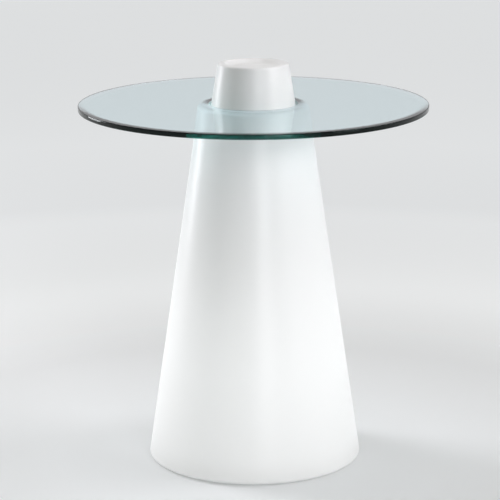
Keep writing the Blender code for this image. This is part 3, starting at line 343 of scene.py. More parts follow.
def link(name, mesh):
    piece = bpy.data.objects.new(name, mesh)
    bpy.context.scene.collection.objects.link(piece)
    return piece


def finished(shape, name):
    """The mesh of a bmesh with its faces turned out, which is freed."""
    bmesh.ops.remove_doubles(shape, verts=shape.verts, dist=MERGE_DISTANCE)
    bmesh.ops.recalc_face_normals(shape, faces=shape.faces)
    mesh = bpy.data.meshes.new(name)
    shape.to_mesh(mesh)
    shape.free()
    return mesh


def smooth(piece):
    """Shades the piece smooth, but for its sharp edges."""
    piece.data.shade_smooth()
    piece.data.set_sharp_from_angle(angle=SHARP_ANGLE)
    return piece


def turned_mesh(name, outline, steps, closed=False):
    """A body of revolution about Z, ring by ring, with a single point where the outline meets the axis."""
    points = stretched(outline, closed)
    shape = bmesh.new()
    rings = []
    for radius, height in points:
        if radius < MERGE_DISTANCE:
            rings.append([shape.verts.new((0, 0, height))] * steps)
        else:
            rings.append([shape.verts.new((x, y, height)) for x, y in on_circle(radius, steps)])
    ends = rings[1:] + rings[:1] if closed else rings[1:]
    for upper, lower in zip(rings, ends):
        for index in range(steps):
            after = (index + 1) % steps
            corners = [upper[index], upper[after], lower[after], lower[index]]
            corners = list(dict.fromkeys(corners))
            if len(corners) > 2:
                shape.faces.new(corners)
    return finished(shape, name)


def turned(name, outline, steps, closed=False, place=(0, 0, 0)):
    """A piece of revolution about an upright axis at a place."""
    mesh = turned_mesh(name, outline, steps, closed)
    mesh.transform(Matrix.Translation(place))
    return link(name, mesh)


def pegs(spots, outline, steps=SMALL_STEPS):
    """Copies of a turned cutter or peg at the (x, y) spots, in one mesh."""
    pattern = turned_mesh("peg", outline, steps)
    shape = bmesh.new()
    for x, y in spots:
        before = len(shape.verts)
        shape.from_mesh(pattern)
        shape.verts.ensure_lookup_table()
        bmesh.ops.translate(shape, vec=(x, y, 0), verts=shape.verts[before:])
    bpy.data.meshes.remove(pattern)
    return finished(shape, "pegs")


def straight(radius, low, high):
    """The outline of a plain peg."""
    return [(0, high), (radius, high), (radius, low), (0, low)]


def flared(radius, face, high):
    """The outline of a hole's cutter that chamfers the hole where it leaves a downward face."""
    wide = radius + HOLE_CHAMFER + CUT_OVERRUN
    low = face - CUT_OVERRUN
    return [(0, high), (radius, high), (radius, face + HOLE_CHAMFER), (wide, low), (0, low)]


def block(low, high):
    """A box between two corners."""
    shape = bmesh.new()
    low, high = Vector(low), Vector(high)
    matrix = Matrix.LocRotScale((low + high) / 2, None, high - low)
    bmesh.ops.create_cube(shape, size=1, matrix=matrix)
    return finished(shape, "block")


def rod(centre, radius, half_length):
    """A closed cylinder along X."""
    shape = bmesh.new()
    bmesh.ops.create_cone(
        shape,
        cap_ends=True,
        segments=SMALL_STEPS,
        radius1=radius,
        radius2=radius,
        depth=2 * half_length,
        matrix=Matrix.Translation(centre) @ Matrix.Rotation(math.pi / 2, 4, "Y"),
    )
    return finished(shape, "rod")


def applied(piece):
    """The piece with its modifiers made part of its mesh."""
    graph = bpy.context.evaluated_depsgraph_get()
    mesh = bpy.data.meshes.new_from_object(piece.evaluated_get(graph))
    piece.modifiers.clear()
    piece.data = mesh
    return piece


def weld(mesh):
    """Makes one of the doubled points that a cut leaves, and drops what has no size."""
    shape = bmesh.new()
    shape.from_mesh(mesh)
    bmesh.ops.remove_doubles(shape, verts=shape.verts, dist=WELD_DISTANCE)
    bmesh.ops.dissolve_degenerate(shape, edges=shape.edges, dist=WELD_DISTANCE)
    shape.to_mesh(mesh)
    shape.free()


def carve(piece, mesh, operation="DIFFERENCE"):
    """Cuts the mesh out of the piece, or joins it to the piece."""
    helper = link("helper", mesh)
    modifier = piece.modifiers.new("carve", "BOOLEAN")
    modifier.operation = operation
    modifier.object = helper
    applied(piece)
    weld(piece.data)
    bpy.data.objects.remove(helper)
    return piece


def soften(piece, width):
    """Rounds the piece's sharp edges."""
    bevel = piece.modifiers.new("soften", "BEVEL")
    bevel.width = width
    bevel.segments = SOFTEN_SEGMENTS
    bevel.limit_method = "ANGLE"
    bevel.angle_limit = SHARP_ANGLE
    return applied(piece)


# Materials


def add(tree, kind, inputs=None, **settings):
    """A node with its settings, whose inputs are linked or set."""
    made = tree.nodes.new(kind)
    for key, value in settings.items():
        setattr(made, key, value)
    for key, value in (inputs or {}).items():
        socket = made.inputs[key]
        if isinstance(value, bpy.types.NodeSocket):
            tree.links.new(value, socket)
        else:
            socket.default_value = value
    return made


def principled(name, **values):
    """A material, its node tree and its shader, with values set on the shader's own sockets."""
    material = bpy.data.materials.new(name)
    material.use_nodes = True
    shader = material.node_tree.nodes["Principled BSDF"]
    for key, value in values.items():
        shader.inputs[key.replace("_", " ")].default_value = value
    return material, material.node_tree, shader


def ramp(tree, factor, stops):
    """A colour ramp with (position, colour) or (position, level) stops."""
    made = add(tree, "ShaderNodeValToRGB", {"Fac": factor})
    elements = made.color_ramp.elements
    while len(elements) < len(stops):
        elements.new(1)
    for element, (position, colour) in zip(elements, stops):
        element.position = position
        red, green, blue = colour if isinstance(colour, tuple) else (colour,) * 3
        element.color = (red, green, blue, 1)
    return made.outputs["Color"]


def shade(colour, share):
    """The colour with its brightness multiplied."""
    return tuple(min(1, channel * share) for channel in colour)


def noise(tree, place, size, detail):
    """Noise whose patches are about as wide as the size."""
    inputs = {"Vector": place, "Scale": 1 / size, "Detail": detail}
    return add(tree, "ShaderNodeTexNoise", inputs).outputs["Fac"]


def dress(
    tree,
    shader,
    colour,
    mottle,
    mottle_size,
    roughness,
    uneven,
    grain_size,
    grain_depth,
    stretch=(1, 1, 1),
):
    """Uneven colour, uneven gloss and a fine relief, from noise in the object's own space."""
    place = add(tree, "ShaderNodeTexCoord").outputs["Object"]
    place = add(tree, "ShaderNodeMapping", {"Vector": place, "Scale": stretch}).outputs["Vector"]
    broad = noise(tree, place, mottle_size, BROAD_DETAIL)
    fine = noise(tree, place, grain_size, FINE_DETAIL)
    stops = [(MOTTLE_FROM, shade(colour, 1 - mottle)), (MOTTLE_TO, shade(colour, 1 + mottle))]
    tree.links.new(ramp(tree, broad, stops), shader.inputs["Base Color"])
    span = {"To Min": roughness - uneven, "To Max": roughness + uneven}
    gloss = add(tree, "ShaderNodeMapRange", {"Value": fine, **span})
    tree.links.new(gloss.outputs["Result"], shader.inputs["Roughness"])
    relief = add(tree, "ShaderNodeBump", {"Height": fine, "Strength": 1.0, "Distance": grain_depth})
    tree.links.new(relief.outputs["Normal"], shader.inputs["Normal"])
    return place


def moulded(name, colour, roughness=0.45, mottle=0.02, grain_size=0.0006, grain_depth=0.00002, **values):
    """Moulded plastic or rubber with a fine spark grain."""
    material, tree, shader = principled(name, **values)
    grain = {"grain_size": grain_size, "grain_depth": grain_depth}
    dress(tree, shader, colour, mottle=mottle, roughness=roughness, **grain, **MOULDED_SKIN)
    return material


def metal(name, colour, roughness=0.3, stretch=(1, 1, 1), grain_depth=0.000004):
    """Metal whose rolling or turning marks run along the axis with the smallest stretch."""
    material, tree, shader = principled(name, Metallic=1.0)
    marks = {"grain_depth": grain_depth, "stretch": stretch}
    dress(tree, shader, colour, roughness=roughness, **marks, **METAL_SKIN)
    return material


def shell_plastic():
    """Rotational moulding in white polyethylene: satin and faintly uneven, with a glow painted by height in
    place of the light of the lamp inside.
    """
    material, tree, shader = principled("shell_plastic", IOR=REFRACTIVE_INDEX, Specular_IOR_Level=0.5)
    place = dress(tree, shader, SHELL_COLOUR, **SHELL_SKIN)
    height = add(tree, "ShaderNodeSeparateXYZ", {"Vector": place}).outputs["Z"]
    level = add(tree, "ShaderNodeMapRange", {"Value": height, "From Max": TABLE_HEIGHT})
    # painted glow by height, standing in for the light of the lamp inside
    glow = ramp(tree, level.outputs["Result"], SHELL_GLOW)
    tree.links.new(glow, shader.inputs["Emission Strength"])
    shader.inputs["Emission Color"].default_value = SHELL_GLOW_COLOUR
    return material


def clear_glass():
    """Float glass: nearly clear through its faces, and dark green along its edge, where its own green tint
    is darkened by painted shade and its reflection is dimmed.
    """
    values = {"Roughness": 0.0, "IOR": REFRACTIVE_INDEX, "Transmission_Weight": 1.0}
    material, tree, shader = principled("clear_glass", **values)
    place = add(tree, "ShaderNodeTexCoord").outputs["Object"]
    flat = add(tree, "ShaderNodeVectorMath", {0: place, 1: (1, 1, 0)}, operation="MULTIPLY")
    length = add(tree, "ShaderNodeVectorMath", {0: flat.outputs["Vector"]}, operation="LENGTH")
    radius = length.outputs["Value"]
    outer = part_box("glass_top")[1].x
    rim = {"From Min": outer - GLASS_EDGE_ROUNDING, "From Max": outer}
    depth = add(tree, "ShaderNodeMapRange", {"Value": radius, **rim}).outputs["Result"]
    # painted shade on the rim: its colour darkened and its reflection dimmed towards the edge
    for socket, face_value, rim_shaded_value in (
        ("Base Color", GLASS_FACE_COLOUR, GLASS_RIM_TINT_AND_SHADE),
        ("Specular Tint", GLASS_FACE_GLOSS, GLASS_RIM_DIMMED_GLOSS),
    ):
        stops = [(0.0, face_value), (GLASS_RIM_SHARE, rim_shaded_value)]
        tree.links.new(ramp(tree, depth, stops), shader.inputs[socket])
    ground = {"From Min": GLASS_HOLE_RADIUS + GROUND_REACH, "From Max": GLASS_HOLE_RADIUS}
    for socket, wall in (("Roughness", GROUND_ROUGHNESS), ("Transmission Weight", GROUND_TRANSMISSION)):
        span = {**ground, "To Min": shader.inputs[socket].default_value, "To Max": wall}
        change = add(tree, "ShaderNodeMapRange", {"Value": radius, **span})
        tree.links.new(change.outputs["Result"], shader.inputs[socket])
    body = {"Color": GLASS_BODY_COLOUR, "Density": GLASS_BODY_DENSITY}
    volume = add(tree, "ShaderNodeVolumeAbsorption", body)
    ray = add(tree, "ShaderNodeLightPath").outputs["Is Shadow Ray"]
    through = add(tree, "ShaderNodeBsdfTransparent", {"Color": GLASS_SHADOW_COLOUR})
    surfaces = {1: shader.outputs["BSDF"], 2: through.outputs["BSDF"]}
    mix = add(tree, "ShaderNodeMixShader", {"Fac": ray, **surfaces})
    output = tree.nodes["Material Output"]
    tree.links.new(mix.outputs["Shader"], output.inputs["Surface"])
    tree.links.new(volume.outputs["Volume"], output.inputs["Volume"])
    return material


def seen(tree):
    """1 on rays from the eye, from gloss and through glass, and 0 on those that carry light."""
    path = add(tree, "ShaderNodeLightPath").outputs
    either = {0: path["Is Camera Ray"], 1: path["Is Glossy Ray"]}
    gloss = add(tree, "ShaderNodeMath", either, operation="MAXIMUM")
    every = {0: gloss.outputs["Value"], 1: path["Is Transmission Ray"]}
    return add(tree, "ShaderNodeMath", every, operation="MAXIMUM").outputs["Value"]


def floor_paint():
    """Pale paint, brighter in the distance to the eye, to gloss and through glass, and darkened away from
    the table by painted shade that dims the lamps' pools of light.
    """
    values = {"Specular_IOR_Level": FLOOR_SPECULAR, "Emission_Color": FLOOR_GLOW_COLOUR}
    material, tree, shader = principled("floor_paint", **values)
    place = dress(tree, shader, FLOOR_COLOUR, **FLOOR_SKIN)
    distance = add(tree, "ShaderNodeVectorMath", {0: place}, operation="LENGTH").outputs["Value"]
    reach = {"Value": distance, "From Max": FLOOR_GLOW_REACH}
    share = add(tree, "ShaderNodeMapRange", reach).outputs["Result"]
    paint = shader.inputs["Base Color"].links[0].from_socket
    # painted shade on the far floor, multiplied into the paint
    painted_shade_inputs = {"Factor": 1.0, 6: paint, 7: ramp(tree, share, FLOOR_PAINTED_SHADE)}
    mixed = add(tree, "ShaderNodeMix", painted_shade_inputs, data_type="RGBA", blend_type="MULTIPLY").outputs[2]
    tree.links.new(mixed, shader.inputs["Base Color"])
    glow = ramp(tree, share, FLOOR_GLOW)
    shown = add(tree, "ShaderNodeMath", {0: glow, 1: seen(tree)}, operation="MULTIPLY")
    tree.links.new(shown.outputs["Value"], shader.inputs["Emission Strength"])
    return material


# Pieces


def place_piece(piece, body, material, slot, *replaced):
    """Gives a dressed piece its material and its body, and hides the frame nodes that it stands for."""
    piece.data.materials.clear()
    piece.data.materials.append(material)
    smooth(piece)
    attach(piece, body)
    if replaced:
        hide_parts(*replaced)
    return piece


def shell():
    """The cone, stub and dish in one wall, with its recess, its collar and its pockets."""
    skin = [
        (0, DISH_FLOOR_HEIGHT, 0),
        (DISH_FLOOR_RADIUS, DISH_FLOOR_HEIGHT, DISH_CORNER_ROUNDING),
        (DISH_MOUTH_RADIUS, TABLE_HEIGHT, RIM_ROUNDING),
        (STUB_TOP_RADIUS, TABLE_HEIGHT, RIM_ROUNDING),
        (STUB_FOOT_RADIUS, SHOULDER_HEIGHT, STUB_FOOT_FILLET),
        (CONE_SHOULDER_RADIUS, SHOULDER_HEIGHT, SHOULDER_ROUNDING),
        (CONE_FOOT_RADIUS, SHELL_FOOT_HEIGHT, BASE_ROUNDING),
        (CONE_FOOT_RADIUS - REST_RING_WIDTH, SHELL_FOOT_HEIGHT, RECESS_EDGE_ROUNDING),
        (CONE_FOOT_RADIUS - REST_RING_WIDTH - RECESS_DRAFT, RECESS_HEIGHT, RECESS_CORNER_ROUNDING),
        (OPENING_RADIUS, RECESS_HEIGHT, 0),
    ]
    inner = inset(skin, SHELL_WALL)
    collar_radius = OPENING_RADIUS + COLLAR_WIDTH
    inner[-1] = (collar_radius, RECESS_HEIGHT + SHELL_WALL, 0)
    collar = [(OPENING_RADIUS, COLLAR_TOP), (collar_radius, COLLAR_TOP)]
    outline = rounded(skin) + collar + rounded(inner[::-1])
    piece = turned("shell", outline, SHELL_STEPS)
    foot_radius = (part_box("foot_1")[1].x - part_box("foot_1")[0].x) / 2 + SEAT_GAP
    pocket_top = SHELL_FOOT_HEIGHT + FOOT_POCKET_DEPTH
    feet = on_circle(CONE_FOOT_RADIUS - REST_RING_WIDTH / 2, FOOT_COUNT, math.pi / FOOT_COUNT)
    carve(piece, pegs(feet, straight(foot_radius, SHELL_FOOT_HEIGHT - CUT_OVERRUN, pocket_top), FOOT_STEPS))
    pocket = straight(INSERT_RADIUS + SEAT_GAP, RECESS_HEIGHT - CUT_OVERRUN, INSERT_POCKET_TOP)
    carve(piece, pegs(centres("module_insert"), pocket))
    place_piece(piece, "base", shell_plastic(), "shell_plastic", "base_shell")


def centre(node):
    """The middle of a frame node's box."""
    low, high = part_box(node)
    return (low + high) / 2


def numbered(name):
    """The frame's nodes of one name, which end in a number."""
    return sorted(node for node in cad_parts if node.startswith(f"{name}_"))


def centres(name):
    """The (x, y) middles of the numbered nodes of one name."""
    return [centre(node).xy[:] for node in numbered(name)]


def glass():
    """The round top with its hole and its rounded edges."""
    low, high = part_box("glass_top")
    outline = rounded(
        [
            (GLASS_HOLE_RADIUS, high.z, GLASS_HOLE_ROUNDING),
            (high.x, high.z, GLASS_EDGE_ROUNDING),
            (high.x, low.z, GLASS_EDGE_ROUNDING),
            (GLASS_HOLE_RADIUS, low.z, GLASS_HOLE_ROUNDING),
        ],
        closed=True,
    )
    piece = turned("glass", outline, GLASS_STEPS, closed=True)
    place_piece(piece, "top", clear_glass(), "clear_glass", "glass_top")


def seat_ring():
    """The soft ring between the glass and the shoulder."""
    low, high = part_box("glass_seat_ring")
    inner, outer = SEAT_RING_INNER_RADIUS, high.x
    corners = ((inner, high.z), (outer, high.z), (outer, low.z), (inner, low.z))
    outline = rounded([(*corner, SEAT_RING_EDGE) for corner in corners], closed=True)
    piece = turned("seat_ring", outline, SHELL_STEPS, closed=True)
    soft = moulded("clear_silicone", (0.93, 0.94, 0.94), 0.35, Transmission_Weight=0.3)
    place_piece(piece, "base", soft, "clear_silicone", "glass_seat_ring")


def feet():
    """Rubber feet with a groove round their face."""
    grain = {"grain_size": 0.0005, "grain_depth": 0.00003}
    rubber = moulded("foot_rubber", (0.50, 0.50, 0.49), roughness=0.7, mottle=0.05, **grain)
    for index in range(1, FOOT_COUNT + 1):
        node = f"foot_{index}"
        low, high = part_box(node)
        middle = (low + high) / 2
        groove_out, groove_in = FOOT_GROOVE_RADIUS, FOOT_GROOVE_RADIUS - FOOT_GROOVE_WIDTH
        outline = rounded(
            [
                (0, high.z, 0),
                (high.x - middle.x, high.z, 0),
                (high.x - middle.x, low.z, FOOT_EDGE_ROUNDING),
                (groove_out, low.z, 0),
                (groove_out, low.z + FOOT_GROOVE_DEPTH, 0),
                (groove_in, low.z + FOOT_GROOVE_DEPTH, 0),
                (groove_in, low.z, 0),
                (0, low.z, 0),
            ]
        )
        piece = turned(f"rubber_foot_{index}", outline, FOOT_STEPS, place=(middle.x, middle.y, 0))
        place_piece(piece, "base", rubber, "foot_rubber", node)


def plate():
    """The module's plate, with its wall, posts and holes, and the rebate of the charging inlet."""
    low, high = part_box("module_plate")
    top = low.z + PLATE_THICKNESS
    wall_top = top + PLATE_WALL_HEIGHT
    inner = PLATE_WALL_RADIUS - PLATE_WALL
    groove_out, groove_in = PLATE_GROOVE_RADIUS, PLATE_GROOVE_RADIUS - PLATE_GROOVE_WIDTH
    outline = rounded(
        [
            (0, top, 0),
            (inner, top, 0),
            (inner, wall_top, 0),
            (PLATE_WALL_RADIUS, wall_top, 0),
            (PLATE_WALL_RADIUS, top, 0),
            (high.x, top, 0),
            (high.x, low.z, PLATE_EDGE_ROUNDING),
            (groove_out, low.z, 0),
            (groove_out, low.z + PLATE_GROOVE_DEPTH, 0),
            (groove_in, low.z + PLATE_GROOVE_DEPTH, 0),
            (groove_in, low.z, 0),
            (0, low.z, 0),
        ]
    )
    piece = turned("plate", outline, PLATE_STEPS)
    lamp_posts, board_posts = centres("lamp_screw"), centres("board_screw")
    carve(piece, pegs(lamp_posts, straight(POST_RADIUS, top - FUSE_BITE, LAMP_POST_TOP)), "UNION")
    carve(piece, pegs(board_posts, straight(POST_RADIUS, top - FUSE_BITE, BOARD_POST_TOP)), "UNION")
    above = top + CUT_OVERRUN
    screws = centres("module_screw")
    button, lens, socket = centre("power_button"), centre("status_lens"), centre("charge_socket")
    carve(piece, pegs(screws, straight(PLATE_SCREW_HOLE, low.z - CUT_OVERRUN, above)))
    carve(piece, pegs(screws, flared(PLATE_SCREW_HEAD_HOLE, low.z, PLATE_SCREW_SEAT)))
    carve(piece, pegs([button.xy[:]], flared(BUTTON_RADIUS + RUNNING_GAP, low.z, above), FOOT_STEPS))
    carve(piece, pegs([lens.xy[:]], flared(LENS_RADIUS + SEAT_GAP, low.z, above)))
    blind = centres("guide_screw") + centres("strap_screw")
    carve(piece, pegs(blind, straight(SMALL_HOLE, top - BLIND_HOLE_DEPTH + SEAT_GAP, above)))
    for spots, post_top in ((lamp_posts, LAMP_POST_TOP), (board_posts, BOARD_POST_TOP)):
        hole = straight(SMALL_HOLE, post_top - BLIND_HOLE_DEPTH + SEAT_GAP, post_top + CUT_OVERRUN)
        carve(piece, pegs(spots, hole))
    flap_low, flap_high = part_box("charge_flap")
    axis = centre("flap_pin")
    rebate_top = axis.z + FLAP_BARREL_RADIUS + SEAT_GAP
    rebate_low = (flap_low.x - FLAP_EDGE_GAP, flap_low.y - FLAP_EDGE_GAP, low.z - CUT_OVERRUN)
    rebate_high = (flap_high.x + FLAP_EDGE_GAP, axis.y + FLAP_BARREL_RADIUS + FLAP_HINGE_GAP, rebate_top)
    carve(piece, block(rebate_low, rebate_high))
    carve(piece, pegs([socket.xy[:]], straight(PLUG_HOLE_RADIUS, low.z - CUT_OVERRUN, above)))
    pin_reach = (flap_high.x - flap_low.x) / 2 + FLAP_EDGE_GAP + FLAP_PIN_HOLD + SEAT_GAP
    carve(piece, rod(axis, FLAP_PIN_RADIUS + SEAT_GAP, pin_reach))
    plastic = moulded("module_plastic", (0.76, 0.76, 0.75), 0.5)
    place_piece(piece, "base", plastic, "module_plastic", "module_plate")


def button():
    """The power button: a dished cap, a flange that stops it and a stem."""
    low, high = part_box("power_button")
    middle = (low + high) / 2
    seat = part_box("module_plate")[0].z + PLATE_THICKNESS + SEAT_GAP
    flange_top = seat + BUTTON_FLANGE_THICKNESS
    flange_radius = high.x - middle.x
    outline = rounded(
        [
            (0, high.z, 0),
            (BUTTON_STEM_RADIUS, high.z, BUTTON_DISH_DEPTH),
            (BUTTON_STEM_RADIUS, flange_top, 0),
            (flange_radius, flange_top, 0),
            (flange_radius, seat, 0),
            (BUTTON_RADIUS, seat, 0),
            (BUTTON_RADIUS, low.z, BUTTON_EDGE_ROUNDING),
            (BUTTON_DISH_RADIUS, low.z, BUTTON_EDGE_ROUNDING),
            (BUTTON_DISH_RADIUS / 2, low.z + BUTTON_DISH_DEPTH, BUTTON_DISH_RADIUS),
            (0, low.z + BUTTON_DISH_DEPTH, 0),
        ]
    )
    piece = turned("button", outline, FOOT_STEPS, place=(middle.x, middle.y, 0))
    white = moulded("button_plastic", (0.84, 0.84, 0.83), 0.32, mottle=0.01, grain_depth=0.00001)
    place_piece(piece, "button", white, "button_plastic", "power_button")


def flap():
    """The charging inlet's cover: one outline of its panel and barrel, drawn out along its hinge."""
    low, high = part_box("charge_flap")
    axis = centre("flap_pin")
    outer = -FLAP_BARREL_RADIUS
    inner = outer + FLAP_THICKNESS
    first, last = math.pi - math.asin(inner / FLAP_BARREL_RADIUS), -math.pi / 2
    outline = [(-FLAP_LENGTH, outer), (-FLAP_LENGTH, inner)]
    for step in range(SMALL_STEPS + 1):
        angle = first + (last - first) * step / SMALL_STEPS
        outline.append((FLAP_BARREL_RADIUS * math.cos(angle), FLAP_BARREL_RADIUS * math.sin(angle)))
    shape = bmesh.new()
    face = shape.faces.new([shape.verts.new((low.x, axis.y + y, axis.z + z)) for y, z in outline])
    drawn = bmesh.ops.extrude_face_region(shape, geom=[face])["geom"]
    moved = [item for item in drawn if isinstance(item, bmesh.types.BMVert)]
    bmesh.ops.translate(shape, vec=(high.x - low.x, 0, 0), verts=moved)
    piece = soften(link("flap", finished(shape, "flap")), FLAP_EDGE_ROUNDING)
    carve(piece, rod(axis, FLAP_PIN_RADIUS + SEAT_GAP, high.x - low.x))
    notch = (centre("charge_flap").x, low.y + FLAP_NOTCH_DEPTH - FLAP_NOTCH_RADIUS)
    carve(piece, pegs([notch], straight(FLAP_NOTCH_RADIUS, low.z - CUT_OVERRUN, high.z + CUT_OVERRUN)))
    plastic = moulded("flap_plastic", (0.70, 0.70, 0.69), 0.5)
    place_piece(piece, "flap", plastic, "flap_plastic", "charge_flap")


def dome():
    """The opal dome over the lamp, with its flange and its screw holes."""
    low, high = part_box("diffuser_dome")
    flange_top = low.z + DOME_FLANGE_THICKNESS
    angles = [math.pi / 2 * step / DOME_ARC_POINTS for step in range(DOME_ARC_POINTS + 1)]
    inner_radius = DOME_RADIUS - DOME_WALL
    rise, inner_rise = high.z - flange_top, high.z - DOME_WALL - low.z
    outer = [(DOME_RADIUS * math.sin(a), flange_top + rise * math.cos(a)) for a in angles]
    inner = [(inner_radius * math.sin(a), low.z + inner_rise * math.cos(a)) for a in angles]
    flange_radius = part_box("heat_spreader")[1].x
    outline = outer + [(flange_radius, flange_top), (flange_radius, low.z)] + inner[::-1]
    piece = turned("dome", outline, PLATE_STEPS)
    hole = straight(SMALL_HOLE, low.z - CUT_OVERRUN, flange_top + CUT_OVERRUN)
    carve(piece, pegs(centres("lamp_screw"), hole))
    glow = {"Emission_Color": DOME_GLOW_COLOUR, "Emission_Strength": DOME_GLOW}
    opal = moulded("opal_plastic", (0.92, 0.92, 0.90), 0.35, mottle=0.01, Transmission_Weight=0.35, **glow)
    place_piece(piece, "base", opal, "opal_plastic", "diffuser_dome")


def screw(node, sizes, material, head_down=False):
    """A socket screw in a frame node's place, with a chamfered head and tip."""
    head_radius, head_height, radius = sizes
    low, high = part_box(node)
    middle = (low + high) / 2
    length = high.z - low.z - head_height
    chamfer = head_radius * HEAD_CHAMFER_SHARE
    outline = [
        (0, head_height),
        (head_radius - chamfer, head_height),
        (head_radius, head_height - chamfer),
        (head_radius, 0),
        (radius, 0),
        (radius, chamfer - length),
        (radius - chamfer, -length),
        (0, -length),
    ]
    piece = link(f"{node}_dressed", turned_mesh(node, outline, SMALL_STEPS))
    floor = head_height * (1 - HEX_SOCKET_SHARE)
    hexagon = straight(head_radius * HEX_SOCKET_SHARE, floor, head_height + CUT_OVERRUN)
    carve(piece, turned_mesh("socket", hexagon, HEX_SIDES))
    flip = Matrix.Rotation(math.pi if head_down else 0, 4, "X")
    seat = low.z + head_height if head_down else high.z - head_height
    piece.data.transform(Matrix.Translation((middle.x, middle.y, seat)) @ flip)
    place_piece(piece, "base", material, "steel", node)


def screws():
    """The plate's six screws, heads down, and the small ones inside, heads up."""
    stainless = metal("stainless_steel", (0.62, 0.61, 0.59), 0.28)
    zinc = metal("zinc_steel", (0.66, 0.66, 0.64), 0.36)
    for node in numbered("module_screw"):
        screw(node, PLATE_SCREW_SIZES, stainless, head_down=True)
    for name in ("strap_screw", "board_screw", "guide_screw", "led_screw", "lamp_screw"):
        for node in numbered(name):
            screw(node, SMALL_SCREW_SIZES, zinc)


def spring():
    """The button's coil, finer than the frame's."""
    low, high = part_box("button_spring")
    middle = centre("power_button")
    start, climb = low.z + SPRING_WIRE_RADIUS, high.z - low.z - 2 * SPRING_WIRE_RADIUS
    last = SPRING_TURNS * SPRING_POINTS_PER_TURN
    curve = bpy.data.curves.new("spring", "CURVE")
    curve.dimensions = "3D"
    curve.bevel_depth = SPRING_WIRE_RADIUS
    curve.bevel_resolution = SPRING_WIRE_FINENESS
    curve.use_fill_caps = True
    spline = curve.splines.new("POLY")
    spline.points.add(last)
    for index, point in enumerate(spline.points):
        angle = math.tau * index / SPRING_POINTS_PER_TURN
        x, y = SPRING_RADIUS * math.cos(angle), SPRING_RADIUS * math.sin(angle)
        point.co = (middle.x + x, middle.y + y, start + climb * index / last, 1)
    pattern = link("spring_curve", curve)
    graph = bpy.context.evaluated_depsgraph_get()
    piece = link("spring", bpy.data.meshes.new_from_object(pattern.evaluated_get(graph)))
    weld(piece.data)
    bpy.data.objects.remove(pattern)
    place_piece(piece, "base", metal("spring_steel", (0.60, 0.60, 0.58), 0.3), "steel", "button_spring")
    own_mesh(piece)


def dress_nodes():
    """Materials for the frame's own nodes, all of them inside the base or under it."""
    looks = {
        "module_gasket": moulded("gasket_silicone", (0.15, 0.15, 0.16), 0.6),
        "module_insert": metal("brass", (0.80, 0.62, 0.30), 0.32, ALONG_Z),
        "battery_tray": moulded("tray_plastic", (0.09, 0.09, 0.10), 0.5),
        "battery_cell": moulded("cell_wrap", (0.08, 0.22, 0.52), 0.3, mottle=0.03),
        "cell_strip": metal("nickel", (0.72, 0.70, 0.66), 0.3, ALONG_Y),
        "battery_strap": metal("strap_steel", (0.56, 0.56, 0.55), 0.35, ALONG_Y),
        "battery_lead_positive": moulded("red_lead", (0.58, 0.04, 0.04), mottle=0.04),
        "battery_lead_negative": moulded("black_lead", (0.03, 0.03, 0.03), mottle=0.04),
        "control_board": moulded("board_green", (0.04, 0.23, 0.11), 0.35, mottle=0.05),
        "tactile_switch": moulded("switch_plastic", (0.05, 0.05, 0.05), 0.4),
        "charge_socket": moulded("socket_plastic", (0.04, 0.04, 0.04), 0.35),
        "status_lens": moulded(
            "clear_plastic",
            (0.85, 0.93, 0.86),
            roughness=0.12,
            mottle=0.01,
            Transmission_Weight=0.7,
        ),
        "button_guide": moulded("guide_plastic", (0.28, 0.28, 0.29), 0.5),
        "flap_pin": metal("pin_steel", (0.65, 0.65, 0.63), 0.22, ALONG_X),
        "heat_spreader": metal("aluminium", (0.80, 0.80, 0.81), 0.32, ALONG_X),
        "led_board": moulded("diode_board", (0.86, 0.86, 0.84), 0.4),
        "dome_clamp_ring": moulded("clamp_plastic", (0.78, 0.78, 0.77), 0.5),
        "lamp_lead": moulded("white_lead", (0.78, 0.78, 0.77), 0.45),
    }
    for name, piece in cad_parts.items():
        for start, material in looks.items():
            if name.startswith(start):
                piece.material_slots[0].material = material
                smooth(piece)


# Stage, light and camera


def stage():
    """The plain pale floor."""
    shape = bmesh.new()
    bmesh.ops.create_grid(shape, x_segments=FLOOR_CELLS, y_segments=FLOOR_CELLS, size=FLOOR_REACH)
    floor = link("floor", finished(shape, "floor"))
    floor.data.materials.append(floor_paint())


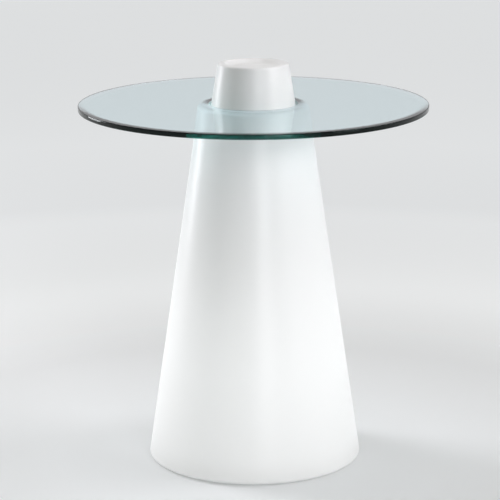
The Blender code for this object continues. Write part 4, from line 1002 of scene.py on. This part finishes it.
def wall_level(tree):
    """The brightness of the studio's walls, which gloss and glass see dimmer in front of the table."""
    place = add(tree, "ShaderNodeTexCoord").outputs["Generated"]
    way = add(tree, "ShaderNodeSeparateXYZ", {"Vector": place}).outputs["Y"]
    span = {"From Min": -STUDIO_FRONT_BLEND, "From Max": STUDIO_FRONT_BLEND}
    levels = {"To Min": STUDIO_FRONT_LEVEL, "To Max": STUDIO_LEVEL}
    dimmed = add(tree, "ShaderNodeMapRange", {"Value": way, **span, **levels}).outputs["Result"]
    eye = add(tree, "ShaderNodeLightPath").outputs["Is Camera Ray"]
    full = add(tree, "ShaderNodeMath", {0: eye, 1: STUDIO_LEVEL}, operation="MULTIPLY").outputs["Value"]
    return add(tree, "ShaderNodeMath", {0: dimmed, 1: full}, operation="MAXIMUM").outputs["Value"]


def lights():
    """The world, plain to the table and pale to the eye, and the soft lamps round the table."""
    world = bpy.data.worlds.new("studio")
    bpy.context.scene.world = world
    world.use_nodes = True
    tree = world.node_tree
    light = tree.nodes["Background"]
    light.inputs["Color"].default_value = WORLD_COLOUR
    light.inputs["Strength"].default_value = WORLD_LEVEL
    walls = add(tree, "ShaderNodeBackground", {"Color": STUDIO_COLOUR, "Strength": wall_level(tree)})
    mixed = add(tree, "ShaderNodeMixShader", {"Fac": seen(tree), 1: light.outputs[0], 2: walls.outputs[0]})
    tree.links.new(mixed.outputs["Shader"], tree.nodes["World Output"].inputs["Surface"])
    for name, azimuth, distance, height, aim_height, width, tall, spread, radiance in LAMPS:
        lamp = bpy.data.lights.new(name, "AREA")
        lamp.shape = "RECTANGLE"
        lamp.size, lamp.size_y = width, tall
        lamp.spread = math.radians(spread)
        lamp.energy = radiance * width * tall * math.pi
        lamp.color = LAMP_COLOUR
        holder = link(name, lamp)
        holder.visible_glossy = not name.endswith("near")  # too close for its reflection to look right
        aside = math.radians(azimuth)
        holder.location = (distance * math.cos(aside), distance * math.sin(aside), height)
        aim = Vector((0, 0, aim_height)) - holder.location
        holder.rotation_euler = aim.to_track_quat("-Z", "Y").to_euler()


def camera():
    """The camera at the photograph's place."""
    lens = bpy.data.cameras.new("camera")
    lens.sensor_width = SENSOR_WIDTH
    lens.lens = FOCAL_PIXELS / IMAGE_PIXELS * SENSOR_WIDTH
    holder = link("camera", lens)
    aim = Euler((math.pi / 2 - CAMERA_DOWN, 0, CAMERA_LEFT)).to_matrix().to_4x4()
    holder.matrix_world = Matrix.Translation(CAMERA_PLACE) @ aim @ Matrix.Rotation(CAMERA_ROLL, 4, "Z")
    bpy.context.scene.camera = holder


bpy.context.scene.view_settings.view_transform = "Standard"
camera()
shell()
glass()
seat_ring()
feet()
plate()
button()
flap()
dome()
screws()
spring()
dress_nodes()
stage()
lights()
